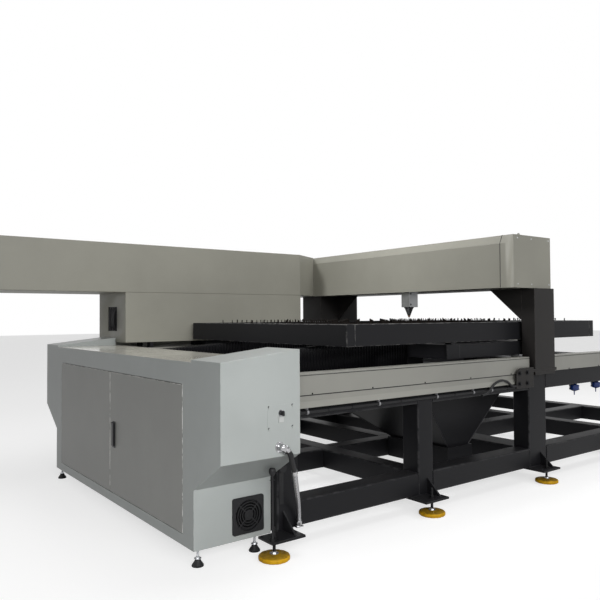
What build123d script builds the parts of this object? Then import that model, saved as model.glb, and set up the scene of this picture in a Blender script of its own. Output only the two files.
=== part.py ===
"""Laser die board cutter: a welded bed on machine pads, a moving spiked worktable,
a gantry with a laser head over it, a laser housing along the far side and an
electrical cabinet across the left end.

Millimetres, +Z up. X runs along the bed, Y across it, and the origin is on the floor
at the middle of the machine's overall length and width.
"""
import os
from math import atan, pi, tan

from build123d import *

# Welded bed of square tube
tube = 125.0                    # outside of the bed's square tube
tube_wall = 6.0
bed_left = -1690.0
bed_right = 2695.0
bed_half_width = 1071.0         # centreline to the outer face of the side tubes
bed_bottom = 93.0
bed_top = 737.0
post_2_left = -707.0
post_3_left = 378.0             # the wide post under the gantry
post_4_left = 1600.0
wide_post = 202.0
middle_rail_y = -143.5          # centre of the lower middle rail
extra_cross_left = -73.0        # lower cross tube behind the hopper

# Machine pads on threaded studs
pad_radius = 74.0
pad_height = 28.0
pad_setback = 75.0              # stud centre outside the bed's side face
stud_radius = 8.0
stud_top = 150.0
bracket_width = 190.0
bracket_reach = 120.0           # plate's reach outside the side face
bracket_seat = 60.0             # plate's reach under the side tube
bracket_plate = 12.0
bracket_overhang = 16.0         # centre of an end bracket left of the bed
gusset_plate = 10.0
gusset_height = 92.0
gusset_offset = 52.0            # gusset beside the stud, along the bed
hole_clearance = 1.0
pad_xs = [bed_left - 71, -682.0, 455.0, 1640.0, bed_right - 80]
nut_flats = 24.0
nut_height = 13.0

# Guideways for the table
table_mid_y = -106.0            # the table's, the screw's and the head's centre line
guide_spread = 480.0            # each guideway's distance from that line
guide_beam = 124.0
rail_width = 45.0
rail_height = 33.0
rail_waist = 37.0
block_length = 150.0
block_width = 120.0
block_top = 847.0               # underside of the carriage
slide_gap = 0.3

# Carriage and worktable
carriage_left = -345.0
carriage_right = 537.0
carriage_near = -985.0
carriage_far = 540.0
carriage_height = 91.0
carriage_beam = 120.0
carriage_side = 80.0
carriage_wall = 5.0
spacer = 13.0                   # levelling spacers between carriage and table
spacer_size = 50.0
table_left = -1173.0
table_right = 1366.0
table_near = -993.0
table_far = 781.0
table_height = 123.0
table_rail = 60.0
table_wall = 4.0
stringer_height = 79.0
strip_count = 18
strip_plate = 3.0
strip_web = 30.0                # height of a strip below its spikes
spike_height = 36.0
spike_base = 16.0
spike_count = 12

# Table drive: fixed screw, turning nut
screw_z = 794.0
screw_radius = 20.0
running_fit = 0.05              # radial, in every bearing and nut
screw_support = 90.0
nut_motor_width = 100.0
nut_motor_height = 105.0
rotor_radius = 36.0
rotor_flange = 44.0
rotor_flange_plate = 6.0

# Sheet covers over the side rails
sheet = 3.0
cover_top = 837.0
cover_face = bed_half_width + 15             # centreline to the near cover's face
cover_flange = 74.0
cover_foot = 729.0
cover_bead = 828.0              # folded line below the top edge
skirt_step = 697.0
skirt_foot = 668.0
skirt_flare = 16.0
far_cover_top = 897.0
far_cover_inner = carriage_far + 14

# Bellows over the guideways, left of the carriage
bellows_half = 52.0             # ridge's distance from the guideway's line
bellows_low = 782.0
bellows_top = 905.0
bellows_fold = 12.0             # a ridge's height above a valley
bellows_skin = 3.0
fold_count = 26
bellows_air = 8.0
bellows_start = bed_left + 10

# Hopper under the cutting head
hopper_x = 0.0
hopper_top = 606.0
hopper_half_top = 400.0
hopper_half_bottom = 105.0
hopper_bottom = 243.0
hopper_near_top = 221 - bed_half_width
hopper_near_bottom = hopper_near_top + 74
hopper_far_top = 500.0
hopper_far_bottom = -260.0
hopper_rim = 24.0
outlet_height = 140.0
outlet_margin = 20.0

# Gantry
column_left = 392.0
column_width = 235.0
column_depth = 100.0
column_near = -bed_half_width - 45
column_wall = 8.0
column_plate = 20.0
column_apron = 22.0
foot_plate = 12.0
foot_plate_left = 180.0
foot_plate_low = 638.0
foot_plate_high = 770.0
gantry_z = 1300.0               # underside of the gantry beam and its covers
gantry_beam_width = 220.0
gantry_beam_height = 260.0
far_column_left = 185.0
far_column_width = 440.0
far_column_near = bed_half_width - 157
far_column_depth = 270.0
brace_leg = 220.0
brace_reach = 259.0
brace_plate = 12.0

# Beam cover across the machine and laser housing along its far side
cover_z = 1652.0                # top of both
beam_cover_left = 165.0
beam_cover_width = 451.0
beam_cover_near = column_near + 17
far_side = bed_half_width + 280
bevel_drop = 56.0
bevel_run = 26.0
end_cap_length = 87.0
end_cap_round = 45.0
lug_height = 9.0
slot_left = 198.0
slot_width = 114.0
housing_left = -2695.0
housing_near = 814.0
housing_wall = 4.0
housing_cut_x = -125.0
housing_cut_y = housing_near + 180
lower_left = bed_left - 3
lower_right = -120.0
lower_bottom = 937.0
beam_port = 50.0
beam_port_z = (gantry_z + cover_z) / 2 - 14
beam_port_y = bed_half_width + 49
end_opening_near = housing_near + 165        # cable opening in the lower box's end
end_opening_width = 180.0
end_opening_low = 1018.0
end_opening_height = 180.0
source_setback = 240.0
source_air = 60.0
source_height = 252.0
bench_plate = 30.0
bench_lip = 50.0
bench_leg = 80.0
foot_spans = [(-1503.0, -1481.0), (-1044.0, -828.0), (-420.0, -300.0)]
foot_depth = 60.0
foot_near = housing_near + 2
foot_far = bed_half_width - 63

# Cutting head
head_x = 250.0
head_rail_zs = [1350.0, 1510.0]
head_rail_width = 20.0
head_rail_depth = 17.0
head_plate = 15.0
head_plate_left = 343.0
head_plate_low = 1320.0
head_plate_high = 1540.0
head_spine_left = 304.0         # spine between the plate and the Z guide
head_spine_low = 1310.0
head_spine_high = 1465.0
mirror_box_low = 1420.0
mirror_box_high = 1500.0
head_half_length = 80.0
head_screw_x = 322.0
head_screw_z = 1437.0
head_screw_radius = 10.0
bearing_block = 52.0
head_motor = 80.0
head_screw_near = beam_cover_near + 24
head_screw_far = far_column_near - 49
z_body_half = 44.0
z_body_left = 212.0
z_body_bottom = 1185.0
z_body_top = 1375.0
z_rail_half = 12.0
z_rail_left = 292.0
nozzle_cone = 65.0
nozzle_tip = 1104.0

# Electrical cabinet across the left end
cabinet_depth = 415.0
cabinet_back = bed_left - 5
cabinet_front = cabinet_back - cabinet_depth
cabinet_half = bed_half_width + 193
plinth_half = bed_half_width - 48
cabinet_bottom = 74.0
plinth_top = 346.0
shoulder_z = 497.0
cabinet_top_z = 917.0
wing_front_z = 927.0
wing_back_z = 970.0
wing_inner = cabinet_half - 264
lid_flange = 20.0
door_half_span = plinth_half - 111
door_gap = 3.0
door_bottom = 128.0
door_top = 808.0
door_depth = 22.0
door_lip = 27.0
pivot_inset = 6.0
pivot_radius = 2.5
pivot_length = 16.0
lock_y = -65.0
lock_bottom = 385.0
lock_height = 147.0
lock_width = 36.0
foot_radius = 28.0
foot_cup = 34.0
foot_inset_x = 32.0
foot_inset_y = 23.0
plate_gap = 27.0
plate_margin = 50.0
module_places = [  # share of the plate's half width, z, width, height, depth
    (-0.86, 480.0, 90.0, 240.0, 150.0), (-0.72, 480.0, 90.0, 240.0, 150.0),
    (-0.58, 480.0, 90.0, 240.0, 150.0), (-0.38, 500.0, 160.0, 200.0, 120.0),
    (-0.07, 540.0, 260.0, 130.0, 90.0), (0.35, 560.0, 300.0, 90.0, 80.0),
    (0.72, 520.0, 240.0, 180.0, 130.0), (-0.7, 200.0, 260.0, 120.0, 110.0),
    (0.12, 200.0, 420.0, 90.0, 70.0), (0.76, 170.0, 200.0, 180.0, 150.0),
]
fan_x = cabinet_back - 132
fan_z = 188.0
guard_size = 170.0
guard_plate = 12.0
fan_size = 150.0
fan_depth = 38.0
fan_bore = 66.0
hub_radius = 28.0
blade_count = 7
service_left = cabinet_back - 180
service_right = cabinet_back - 32
service_low = 612.0
service_high = 728.0
end_plate = 1.5
key_x = cabinet_back - 108
key_z = 690.0
fitting_x = cabinet_back - 116
fitting_z = 540.0
conduit_radius = 10.0

bumper_x = bed_left + 22
bumper_z = 392.0

# Cables and air filters on the near side
cable_z = 645.0
cable_radius = 10.0
clip_xs = [-1516.0, -1026.0, -560.0, -226.0, -45.0]
clip_width = 12.0
clip_wall = 2.5
cup_xs = [1053.0, 1359.0]
cup_radius = 34.0
cup_height = 48.0


def block(x, y, z):
    """A rectangular solid between two limits on each axis."""
    size = [limits[1] - limits[0] for limits in (x, y, z)]
    return Pos(sum(x) / 2, sum(y) / 2, sum(z) / 2) * Box(*size)


def hollow(width, height, wall):
    """A rectangular tube's section."""
    return Rectangle(width, height) - Rectangle(width - 2 * wall, height - 2 * wall)


def tube_x(x, y, z, wall):
    """A rectangular tube along X between two limits on each axis."""
    plane = Plane(origin=(x[0], sum(y) / 2, sum(z) / 2), x_dir=(0, 1, 0), z_dir=(1, 0, 0))
    return extrude(plane * hollow(y[1] - y[0], z[1] - z[0], wall), x[1] - x[0])


def tube_y(x, y, z, wall):
    """A rectangular tube along Y between two limits on each axis."""
    plane = Plane(origin=(sum(x) / 2, y[0], sum(z) / 2), x_dir=(1, 0, 0), z_dir=(0, 1, 0))
    return extrude(plane * hollow(x[1] - x[0], z[1] - z[0], wall), y[1] - y[0])


def closed_tube_y(x, y, z, wall):
    """A rectangular tube along Y with a plate welded on each end."""
    inner = (y[0] + wall, y[1] - wall)
    ends = [block(x, (y[0], inner[0]), z), block(x, (inner[1], y[1]), z)]
    return [tube_y(x, inner, z, wall)] + ends


def run_x(points, x):
    """An outline of (y, z) points, extruded along X between two limits."""
    outline = make_face(Polyline(*[(x[0], y, z) for y, z in points], close=True))
    return extrude(outline, x[1] - x[0], dir=(1, 0, 0))


def run_y(points, y):
    """An outline of (x, z) points, extruded along Y between two limits."""
    outline = make_face(Polyline(*[(x, y[0], z) for x, z in points], close=True))
    return extrude(outline, y[1] - y[0], dir=(0, 1, 0))


def run_z(points, z):
    """An outline of (x, y) points, extruded along Z between two limits."""
    outline = make_face(Polyline(*[(x, y, z[0]) for x, y in points], close=True))
    return extrude(outline, z[1] - z[0], dir=(0, 0, 1))


def bar_x(x, y, z, radius):
    """A round bar along X."""
    return Pos(sum(x) / 2, y, z) * Rot(0, 90, 0) * Cylinder(radius, x[1] - x[0])


def bar_y(x, y, z, radius):
    """A round bar along Y."""
    return Pos(x, sum(y) / 2, z) * Rot(90, 0, 0) * Cylinder(radius, y[1] - y[0])


def bar_z(x, y, z, radius):
    """A round bar along Z."""
    return Pos(x, y, sum(z) / 2) * Cylinder(radius, z[1] - z[0])


def turned(profile, x, y, z=0.0):
    """A solid turned about a vertical axis from (radius, height) points."""
    outline = make_face(Polyline(*[(r, 0, h) for r, h in profile], close=True))
    return Pos(x, y, z) * revolve(outline, Axis.Z)


# Bed

stations = [
    (bed_left, tube),
    (post_2_left, tube),
    (post_3_left, wide_post),
    (post_4_left, tube),
    (bed_right - tube, tube),
]
bays = [
    (stations[i][0] + stations[i][1], stations[i + 1][0]) for i in range(len(stations) - 1)
]
near_tube = (-bed_half_width, tube - bed_half_width)
far_tube = (bed_half_width - tube, bed_half_width)
low_tube = (bed_bottom, bed_bottom + tube)
high_tube = (bed_top - tube, bed_top)
between_sides = (near_tube[1], far_tube[0])
guide_ys = [table_mid_y - guide_spread, table_mid_y + guide_spread]


def posts():
    """Upright tubes, capped at the top, one at each station of both sides."""
    solids = []
    for side in (near_tube, far_tube):
        for left, width in stations:
            outer = block((left, left + width), side, (bed_bottom, bed_top))
            bore = block(
                (left + tube_wall, left + width - tube_wall),
                (side[0] + tube_wall, side[1] - tube_wall),
                (bed_bottom, bed_top - tube_wall),
            )
            solids.append(outer - bore)
    return solids


def bottom_rails():
    """Lower side rails and the middle rail, in runs between the posts and cross tubes."""
    middle = (middle_rail_y - tube / 2, middle_rail_y + tube / 2)
    return [tube_x(bay, side, low_tube, tube_wall) for side in (near_tube, far_tube, middle)
            for bay in bays]


def top_rails():
    return [tube_x(bay, side, high_tube, tube_wall) for side in (near_tube, far_tube)
            for bay in bays]


def cross_tubes():
    """Cross tubes between the sides, low and high, and one from the middle rail back."""
    solids = [
        tube_y((left, left + width), between_sides, level, tube_wall)
        for left, width in stations for level in (low_tube, high_tube)
    ]
    reach = (middle_rail_y + tube / 2, far_tube[0])
    solids.append(
        tube_y((extra_cross_left, extra_cross_left + tube), reach, low_tube, tube_wall)
    )
    return solids


def guide_beams():
    """Tubes that carry the guideways, in runs between the upper cross tubes."""
    sides = [(y - guide_beam / 2, y + guide_beam / 2) for y in guide_ys]
    return [tube_x(bay, side, high_tube, tube_wall) for side in sides for bay in bays]


def linear_rails():
    """Profiled rails with a waist for the balls, one on each guide beam."""
    base = bed_top
    section = [
        (-rail_width / 2, base),
        (rail_width / 2, base),
        (rail_width / 2, base + rail_height * 0.38),
        (rail_waist / 2, base + rail_height * 0.5),
        (rail_waist / 2, base + rail_height * 0.7),
        (rail_width / 2, base + rail_height * 0.8),
        (rail_width / 2, base + rail_height),
        (-rail_width / 2, base + rail_height),
        (-rail_width / 2, base + rail_height * 0.8),
        (-rail_waist / 2, base + rail_height * 0.7),
        (-rail_waist / 2, base + rail_height * 0.5),
        (-rail_width / 2, base + rail_height * 0.38),
    ]
    span = (bed_left + 5, bed_right - 5)
    return [run_x([(y + guide, z) for y, z in section], span) for guide in guide_ys]


# Machine pads, each with its stud and the bracket welded to the bed

def pad_places():
    return [(x, side) for x in pad_xs for side in (-1, 1)]


def pad_brackets():
    """A plate under the side tube with one upright gusset outside it."""
    solids = []
    for x, side in pad_places():
        face = side * bed_half_width
        outside = face + side * bracket_reach
        inside = face - side * bracket_seat
        low = bed_bottom - bracket_plate
        centre = max(x, bed_left - bracket_overhang)
        centre = min(centre, bed_right - bracket_width / 2)
        span = (centre - bracket_width / 2, centre + bracket_width / 2)
        under = (max(span[0], bed_left), span[1])
        plate = block(span, sorted((face, outside)), (low, bed_bottom))
        plate += block(under, sorted((face, inside)), (low, bed_bottom))
        plate -= bar_z(x, face + side * pad_setback, (low - 1, bed_bottom + 1),
                       stud_radius + hole_clearance)
        rib_x = centre + gusset_offset
        triangle = [
            (face, bed_bottom),
            (face + side * (bracket_reach - 20), bed_bottom),
            (face, bed_bottom + gusset_height),
        ]
        rib = run_x(triangle, (rib_x - gusset_plate / 2, rib_x + gusset_plate / 2))
        solids.append(plate + rib)
    return solids


def pad_studs():
    """A stud from the pad up through the plate, with a nut above and below the plate."""
    solids = []
    low = bed_bottom - bracket_plate
    for x, side in pad_places():
        y = side * (bed_half_width + pad_setback)
        stud = bar_z(x, y, (pad_height, stud_top), stud_radius)
        for z in (bed_bottom, low - nut_height):
            nut = extrude(RegularPolygon(nut_flats / 2, 6, major_radius=False), nut_height)
            stud += Pos(x, y, z) * nut
        solids.append(stud)
    return solids


def machine_pads():
    """Round elastomer pads with a bulging side and a shallow dish round the stud."""
    profile = [
        (0, 0),
        (pad_radius - 4, 0),
        (pad_radius, pad_height * 0.35),
        (pad_radius - 3, pad_height * 0.7),
        (pad_radius - 12, pad_height * 0.9),
        (pad_radius * 0.4, pad_height * 0.82),
        (pad_radius * 0.25, pad_height),
        (0, pad_height),
    ]
    return [turned(profile, x, side * (bed_half_width + pad_setback))
            for x, side in pad_places()]


# Carriage and table

def carriage_frame():
    """Ring of box section with a saddle over each guideway and levelling spacers on top."""
    level = (block_top, block_top + carriage_height)
    inner = (carriage_left + carriage_beam, carriage_right - carriage_beam)
    ends = [(carriage_left, inner[0]), (inner[1], carriage_right)]
    sides = [(carriage_near, carriage_near + carriage_side),
             (carriage_far - carriage_side, carriage_far)]
    sides += [(y - block_width / 2, y + block_width / 2) for y in guide_ys]
    solids = [tube_x(inner, side, level, carriage_wall) for side in sides]
    for end in ends:
        solids += closed_tube_y(end, (carriage_near, carriage_far), level, carriage_wall)
    top = (level[1], level[1] + spacer)
    half = spacer_size / 2
    for x in [sum(end) / 2 for end in ends]:
        for y in guide_ys + [table_near + table_rail / 2]:
            solids.append(block((x - half, x + half), (y - half, y + half), top))
    return solids


def guide_blocks():
    """Ball blocks that straddle the rails, two on each."""
    base = bed_top
    solids = []
    for y in guide_ys:
        for x in (carriage_left + block_length / 2 + 5, carriage_right - block_length / 2 - 5):
            body = block((x - block_length / 2, x + block_length / 2),
                         (y - block_width / 2, y + block_width / 2),
                         (base + rail_height * 0.4, block_top))
            channel = block((x - block_length, x + block_length),
                            (y - rail_width / 2 - slide_gap, y + rail_width / 2 + slide_gap),
                            (base, base + rail_height + slide_gap))
            solids.append(body - channel)
    return solids


table_level = block_top + carriage_height + spacer
table_top = table_level + table_height


def table_frame():
    """The table's outer box-section frame, and the stringers between its ends."""
    level = (table_level, table_top)
    inner_x = (table_left + table_rail, table_right - table_rail)
    solids = [
        tube_x(inner_x, (table_near, table_near + table_rail), level, table_wall),
        tube_x(inner_x, (table_far - table_rail, table_far), level, table_wall),
    ]
    for end in ((table_left, inner_x[0]), (inner_x[1], table_right)):
        solids += closed_tube_y(end, (table_near, table_far), level, table_wall)
    low = (table_level, table_level + stringer_height)
    for y in guide_ys + [table_mid_y]:
        side = (y - table_rail / 2, y + table_rail / 2)
        solids.append(tube_x(inner_x, side, low, table_wall))
    return solids


def support_strips():
    """Upright strips across the table, with a row of spikes that carry the board."""
    base = table_level + stringer_height
    crest = base + strip_web
    span = (table_near + table_rail, table_far - table_rail)
    pitch = (span[1] - span[0]) / spike_count
    outline = [(span[0], base), (span[1], base), (span[1], crest)]
    for i in reversed(range(spike_count)):
        y = span[0] + pitch * (i + 0.5)
        outline += [(y + spike_base / 2, crest), (y, crest + spike_height),
                    (y - spike_base / 2, crest)]
    outline.append((span[0], crest))
    inner_x = (table_left + table_rail, table_right - table_rail)
    step = (inner_x[1] - inner_x[0]) / (strip_count + 1)
    xs = [inner_x[0] + step * (i + 1) for i in range(strip_count)]
    return [run_x(outline, (x - strip_plate / 2, x + strip_plate / 2)) for x in xs]


screw_half = screw_support / 2
support_half = screw_support / 3


def ball_screw():
    """Fixed ground screw, with the blocks that clamp its two ends to the bed."""
    ends = (bed_left + tube / 2, post_4_left + tube / 2)
    span = (ends[0] - support_half, ends[1] + support_half)
    solids = [bar_x(span, table_mid_y, screw_z, screw_radius)]
    for x in ends:
        body = block((x - support_half, x + support_half),
                     (table_mid_y - screw_half, table_mid_y + screw_half),
                     (bed_top, screw_z + screw_half * 0.8))
        solids.append(body - bar_x((x - screw_half, x + screw_half), table_mid_y, screw_z,
                                   screw_radius))
    return solids


nut_span = (carriage_left + 4, carriage_left + carriage_beam - 4)


def nut_motor():
    """Hollow-shaft motor that hangs from the carriage's end beam round the screw."""
    half = nut_motor_width / 2
    body = block(nut_span, (table_mid_y - half, table_mid_y + half),
                 (block_top - nut_motor_height, block_top))
    body = fillet(body.edges().filter_by(Axis.X).group_by(Axis.Z)[0], 12)
    return body - bar_x((nut_span[0] - 1, nut_span[1] + 1), table_mid_y, screw_z, rotor_radius)


def drive_nut():
    """The nut that the motor turns on the fixed screw, with its flange outside."""
    start = nut_span[0] - slide_gap
    body = bar_x((start, nut_span[1] - 4), table_mid_y, screw_z, rotor_radius - running_fit)
    body += bar_x((start - rotor_flange_plate, start), table_mid_y, screw_z, rotor_flange)
    bore = (start - rotor_flange_plate - 1, nut_span[1] + 1)
    return body - bar_x(bore, table_mid_y, screw_z, screw_radius + running_fit)


# Covers, skirt and bellows

def near_cover_section():
    """Folded sheet: top flange, a bead below it, the face and a foot on the rail."""
    face = -cover_face
    back = face + sheet
    foot = -bed_half_width
    return [
        (face + cover_flange, cover_top), (face, cover_top),
        (face, cover_bead), (face + 1.5, cover_bead), (face + 1.5, cover_bead - sheet),
        (face, cover_bead - sheet), (face, cover_foot), (foot, cover_foot),
        (foot, cover_foot + sheet), (back, cover_foot + sheet), (back, cover_top - sheet),
        (face + cover_flange, cover_top - sheet),
    ]


left_run = (bed_left, column_left - column_plate - 4)
right_run = (column_left + column_width + column_plate + 4, bed_right)


def rail_cover_near():
    return [run_x(near_cover_section(), run) for run in (left_run, right_run)]


def rail_skirt_near():
    """Lower cover strip left of the gantry, with a flared bottom edge."""
    face = sheet - cover_face
    back = face + sheet
    foot = -bed_half_width
    top = cover_foot
    section = [
        (foot, top), (face, top), (face, skirt_step), (face - skirt_flare, skirt_foot),
        (face - skirt_flare + sheet, skirt_foot), (back, skirt_step), (back, top - sheet),
        (foot, top - sheet),
    ]
    return run_x(section, left_run)


def rail_cover_far():
    """Wide folded cover on the far side, notched round the column and the housing's feet."""
    inner = far_cover_inner
    face = cover_face
    top = far_cover_top
    section = [
        (inner, bed_top), (inner + sheet, bed_top), (inner + sheet, top - sheet),
        (face - sheet, top - sheet), (face - sheet, cover_foot + sheet),
        (bed_half_width, cover_foot + sheet), (bed_half_width, cover_foot),
        (face, cover_foot), (face, top), (inner, top),
    ]
    cover = run_x(section, (bed_left, bed_right))
    gap = column_plate + 4
    notch = block((far_column_left - gap, far_column_left + far_column_width + gap),
                  (far_column_near - gap, face + 1), (cover_foot - 1, top + 1))
    cover -= notch
    for start, end in foot_spans:
        cover -= block((start - hole_clearance, end + hole_clearance),
                       (foot_far - hole_clearance, foot_far + foot_depth + hole_clearance),
                       (top - 10, top + 1))
    return cover


def pleat(x, y, fall):
    """The gaiter's arched section at one x, lower and narrower by fall."""
    half = bellows_half - fall
    top = bellows_top - fall
    inner = half - bellows_skin
    arch = [
        (-half, bellows_low), (-half, top), (half, top), (half, bellows_low),
        (inner, bellows_low), (inner, top - bellows_skin), (-inner, top - bellows_skin),
        (-inner, bellows_low),
    ]
    return make_face(Polyline(*[(x, y + dy, z) for dy, z in arch], close=True))


def bellows():
    """Folded gaiters from the bed's end to the carriage, one over each guideway."""
    step = (carriage_left - bellows_start) / (2 * fold_count)
    solids = []
    for y in guide_ys:
        sections = [
            pleat(bellows_start + step * i, y, bellows_fold * (1 - i % 2))
            for i in range(2 * fold_count + 1)
        ]
        solids.append(loft(sections, ruled=True))
    return solids


def bellows_stands():
    """Plates on the bed that carry the gaiters' fixed ends, notched over the rails."""
    solids = []
    for y in guide_ys:
        plate = block((bellows_start - sheet * 2, bellows_start),
                      (y - bellows_half, y + bellows_half), (bed_top, bellows_top))
        half = rail_width / 2 + 1
        plate -= block((bellows_start - 20, bellows_start + 1), (y - half, y + half),
                       (bed_top - 1, bed_top + rail_height + 1))
        solids.append(plate)
    return solids


# Hopper

def hopper_shell(grow):
    """The hopper's tapered body, larger or smaller than its outer face by grow."""
    level = (hopper_bottom, hopper_top)
    low = hopper_half_bottom + grow
    high = hopper_half_top + grow
    front = [(hopper_x - low, level[0]), (hopper_x + low, level[0]),
             (hopper_x + high, level[1]), (hopper_x - high, level[1])]
    side = [(hopper_near_bottom - grow, level[0]), (hopper_far_bottom + grow, level[0]),
            (hopper_far_top + grow, level[1]), (hopper_near_top - grow, level[1])]
    across = run_y(front, (hopper_near_top - high, hopper_far_top + high))
    return across & run_x(side, (hopper_x - 2 * high, hopper_x + 2 * high))


def hopper():
    """Open sheet hopper with a folded rim that bolts up under the bed."""
    body = hopper_shell(0) - hopper_shell(-sheet)
    outer = Rectangle(2 * (hopper_half_top + hopper_rim),
                      hopper_far_top - hopper_near_top + 2 * hopper_rim)
    inner = Rectangle(2 * (hopper_half_top - sheet),
                      hopper_far_top - hopper_near_top - 2 * sheet)
    mid = (hopper_near_top + hopper_far_top) / 2
    rim = extrude(Pos(hopper_x, mid, hopper_top) * (outer - inner), bed_top - tube - hopper_top)
    return body + rim


def hopper_outlet():
    """Open box below the hopper that the waste tray slides under."""
    half = hopper_half_bottom + outlet_margin
    near = hopper_near_bottom - outlet_margin
    far = hopper_far_bottom + outlet_margin
    level = (hopper_bottom - outlet_height, hopper_bottom)
    box = block((hopper_x - half, hopper_x + half), (near, far), level)
    box -= block((hopper_x - half + sheet, hopper_x + half - sheet),
                 (near + sheet, far - sheet), (level[0] - 1, level[1] - sheet))
    throat = hopper_half_bottom - sheet
    box -= block((hopper_x - throat, hopper_x + throat),
                 (hopper_near_bottom + sheet, hopper_far_bottom - sheet),
                 (level[0], level[1] + 1))
    return box


# Gantry

column_right = column_left + column_width
column_back = column_near + column_depth


def column(x, y, brace_from, brace_step):
    """Box column on a base plate, with a brace plate up to the beam."""
    base = block((x[0] - column_plate, x[1] + column_plate),
                 (min(y[0], brace_from - 40), max(y[1], brace_from + 40)),
                 (bed_top, bed_top + column_plate))
    shaft = block(x, y, (bed_top + column_plate, gantry_z))
    shaft -= block((x[0] + column_wall, x[1] - column_wall),
                   (y[0] + column_wall, y[1] - column_wall),
                   (bed_top + column_plate, gantry_z - column_plate))
    triangle = [
        (brace_from, gantry_z),
        (brace_from + brace_step * brace_reach, gantry_z),
        (brace_from, gantry_z - brace_leg),
    ]
    brace = run_x(triangle, (column_left, column_left + brace_plate))
    return [base, shaft, brace]


def near_column():
    """The near box column, its apron over the side rail and the rounded foot plate."""
    outside = (column_near, column_near + foot_plate)
    apron = block((column_left, column_right), (column_near, -bed_half_width - 2),
                  (bed_top - column_apron, bed_top))
    plate = block((foot_plate_left, column_left - column_plate), outside,
                  (foot_plate_low, foot_plate_high))
    corner = plate.edges().filter_by(Axis.Y).group_by(Axis.X)[0].sort_by(Axis.Z)[-1]
    plate = fillet(corner, 60)
    return column((column_left, column_right), (column_near, column_back),
                  column_back, 1) + [apron, plate]


def far_column():
    """The far box column, wider and deeper than the near one."""
    return column((far_column_left, far_column_left + far_column_width),
                  (far_column_near, far_column_near + far_column_depth), far_column_near, -1)


beam_right = column_left + gantry_beam_width
beam_top = gantry_z + gantry_beam_height
beam_near = column_near + 22


def gantry_beam():
    far = far_column_near + far_column_depth
    return tube_y((column_left, beam_right), (beam_near, far), (gantry_z, beam_top), column_wall)


def cover_outline(inset):
    """The beam cover's section: upright walls and a long bevel at the top left."""
    left = beam_cover_left + inset
    right = beam_cover_left + beam_cover_width - inset
    low = gantry_z
    return [(left, low), (right, low), (right, cover_z - inset),
            (left + bevel_run, cover_z - inset), (left, cover_z - bevel_drop)]


def beam_cover():
    """Sheet panels over the gantry beam, with the slot that the head hangs through."""
    span = (beam_cover_near + end_cap_length, far_side)
    inside = (span[0], far_side - sheet)
    left, right = beam_cover_left, beam_cover_left + beam_cover_width
    shoulder = cover_z - bevel_drop
    crest = left + sheet + bevel_run
    slot = (slot_left, slot_left + slot_width)
    floor = (gantry_z, gantry_z + sheet)
    face = block((left, left + sheet), span, (gantry_z, shoulder))
    face -= bar_x((left - 1, left + sheet + 1), beam_port_y, beam_port_z, beam_port)
    bevel = run_y([(left, shoulder), (left + sheet, shoulder), (crest, cover_z),
                   (left + bevel_run, cover_z)], span)
    top = block((crest, right - sheet), span, (cover_z - sheet, cover_z))
    back = block((right - sheet, right), span, (gantry_z, cover_z))
    end = run_y([(left + sheet, gantry_z), (right - sheet, gantry_z),
                 (right - sheet, cover_z - sheet), (crest - sheet, cover_z - sheet),
                 (left + sheet, shoulder)], (inside[1], far_side))
    return [
        face, bevel, top, back, end,
        block((left + sheet, slot[0]), inside, floor),
        block((slot[1], column_left - 4), inside, floor),
        block(slot, (far_column_near - 40, inside[1]), floor),
    ]


def beam_end_cap():
    """The cover's near end: a pressed cap with a rounded corner and a lug on top."""
    span = (beam_cover_near, beam_cover_near + end_cap_length)
    cap = run_y(cover_outline(0), span)
    room = run_y(cover_outline(sheet), (span[0] + sheet, span[1] + 1))
    corner = cap.edges().filter_by(Axis.Z).group_by(Axis.Y)[0].sort_by(Axis.X)[0]
    cap = fillet(corner, end_cap_round)
    corner = room.edges().filter_by(Axis.Z).group_by(Axis.Y)[0].sort_by(Axis.X)[0]
    cap -= fillet(corner, end_cap_round - sheet)
    lug = [(beam_cover_left + 70, cover_z), (beam_cover_left + 100, cover_z),
           (beam_cover_left + 92, cover_z + lug_height), (beam_cover_left + 76, cover_z + lug_height)]
    return cap + run_y(lug, (span[0], span[0] + sheet))


def head_rails():
    """Two small profiled rails along the beam's left face."""
    span = (head_screw_near + 60, head_screw_far)
    return [block((column_left - head_rail_depth, column_left), span,
                  (z - head_rail_width / 2, z + head_rail_width / 2)) for z in head_rail_zs]


def head_screw():
    """Turning screw of the head's cross travel."""
    return bar_y(head_screw_x, (head_screw_near + 12, head_screw_far - 4), head_screw_z,
                 head_screw_radius)


head_support_near = head_screw_near + 62
head_support_far = head_screw_far - 35


def head_supports():
    """Bearing blocks at the screw's two ends, the near one with the motor on it."""
    bore = head_screw_radius + running_fit
    solids = []
    half = bearing_block / 2
    for y in (head_support_near, head_support_far):
        span = (y - half * 0.7, y + half * 0.7)
        body = block((head_screw_x - half, column_left), span,
                     (head_screw_z - half, head_screw_z + half))
        solids.append(body - bar_y(head_screw_x, (y - half, y + half), head_screw_z, bore))
    flange = head_motor / 2
    motor = block((head_screw_x - flange, head_screw_x + flange),
                  (head_screw_near, head_support_near - half * 0.7),
                  (head_screw_z - flange, head_screw_z + flange))
    motor = fillet(motor.edges().filter_by(Axis.Y), 10)
    shaft_room = bar_y(head_screw_x, (head_screw_near + 10, head_support_near), head_screw_z, bore)
    return [solids[0] + (motor - shaft_room), solids[1]]


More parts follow.
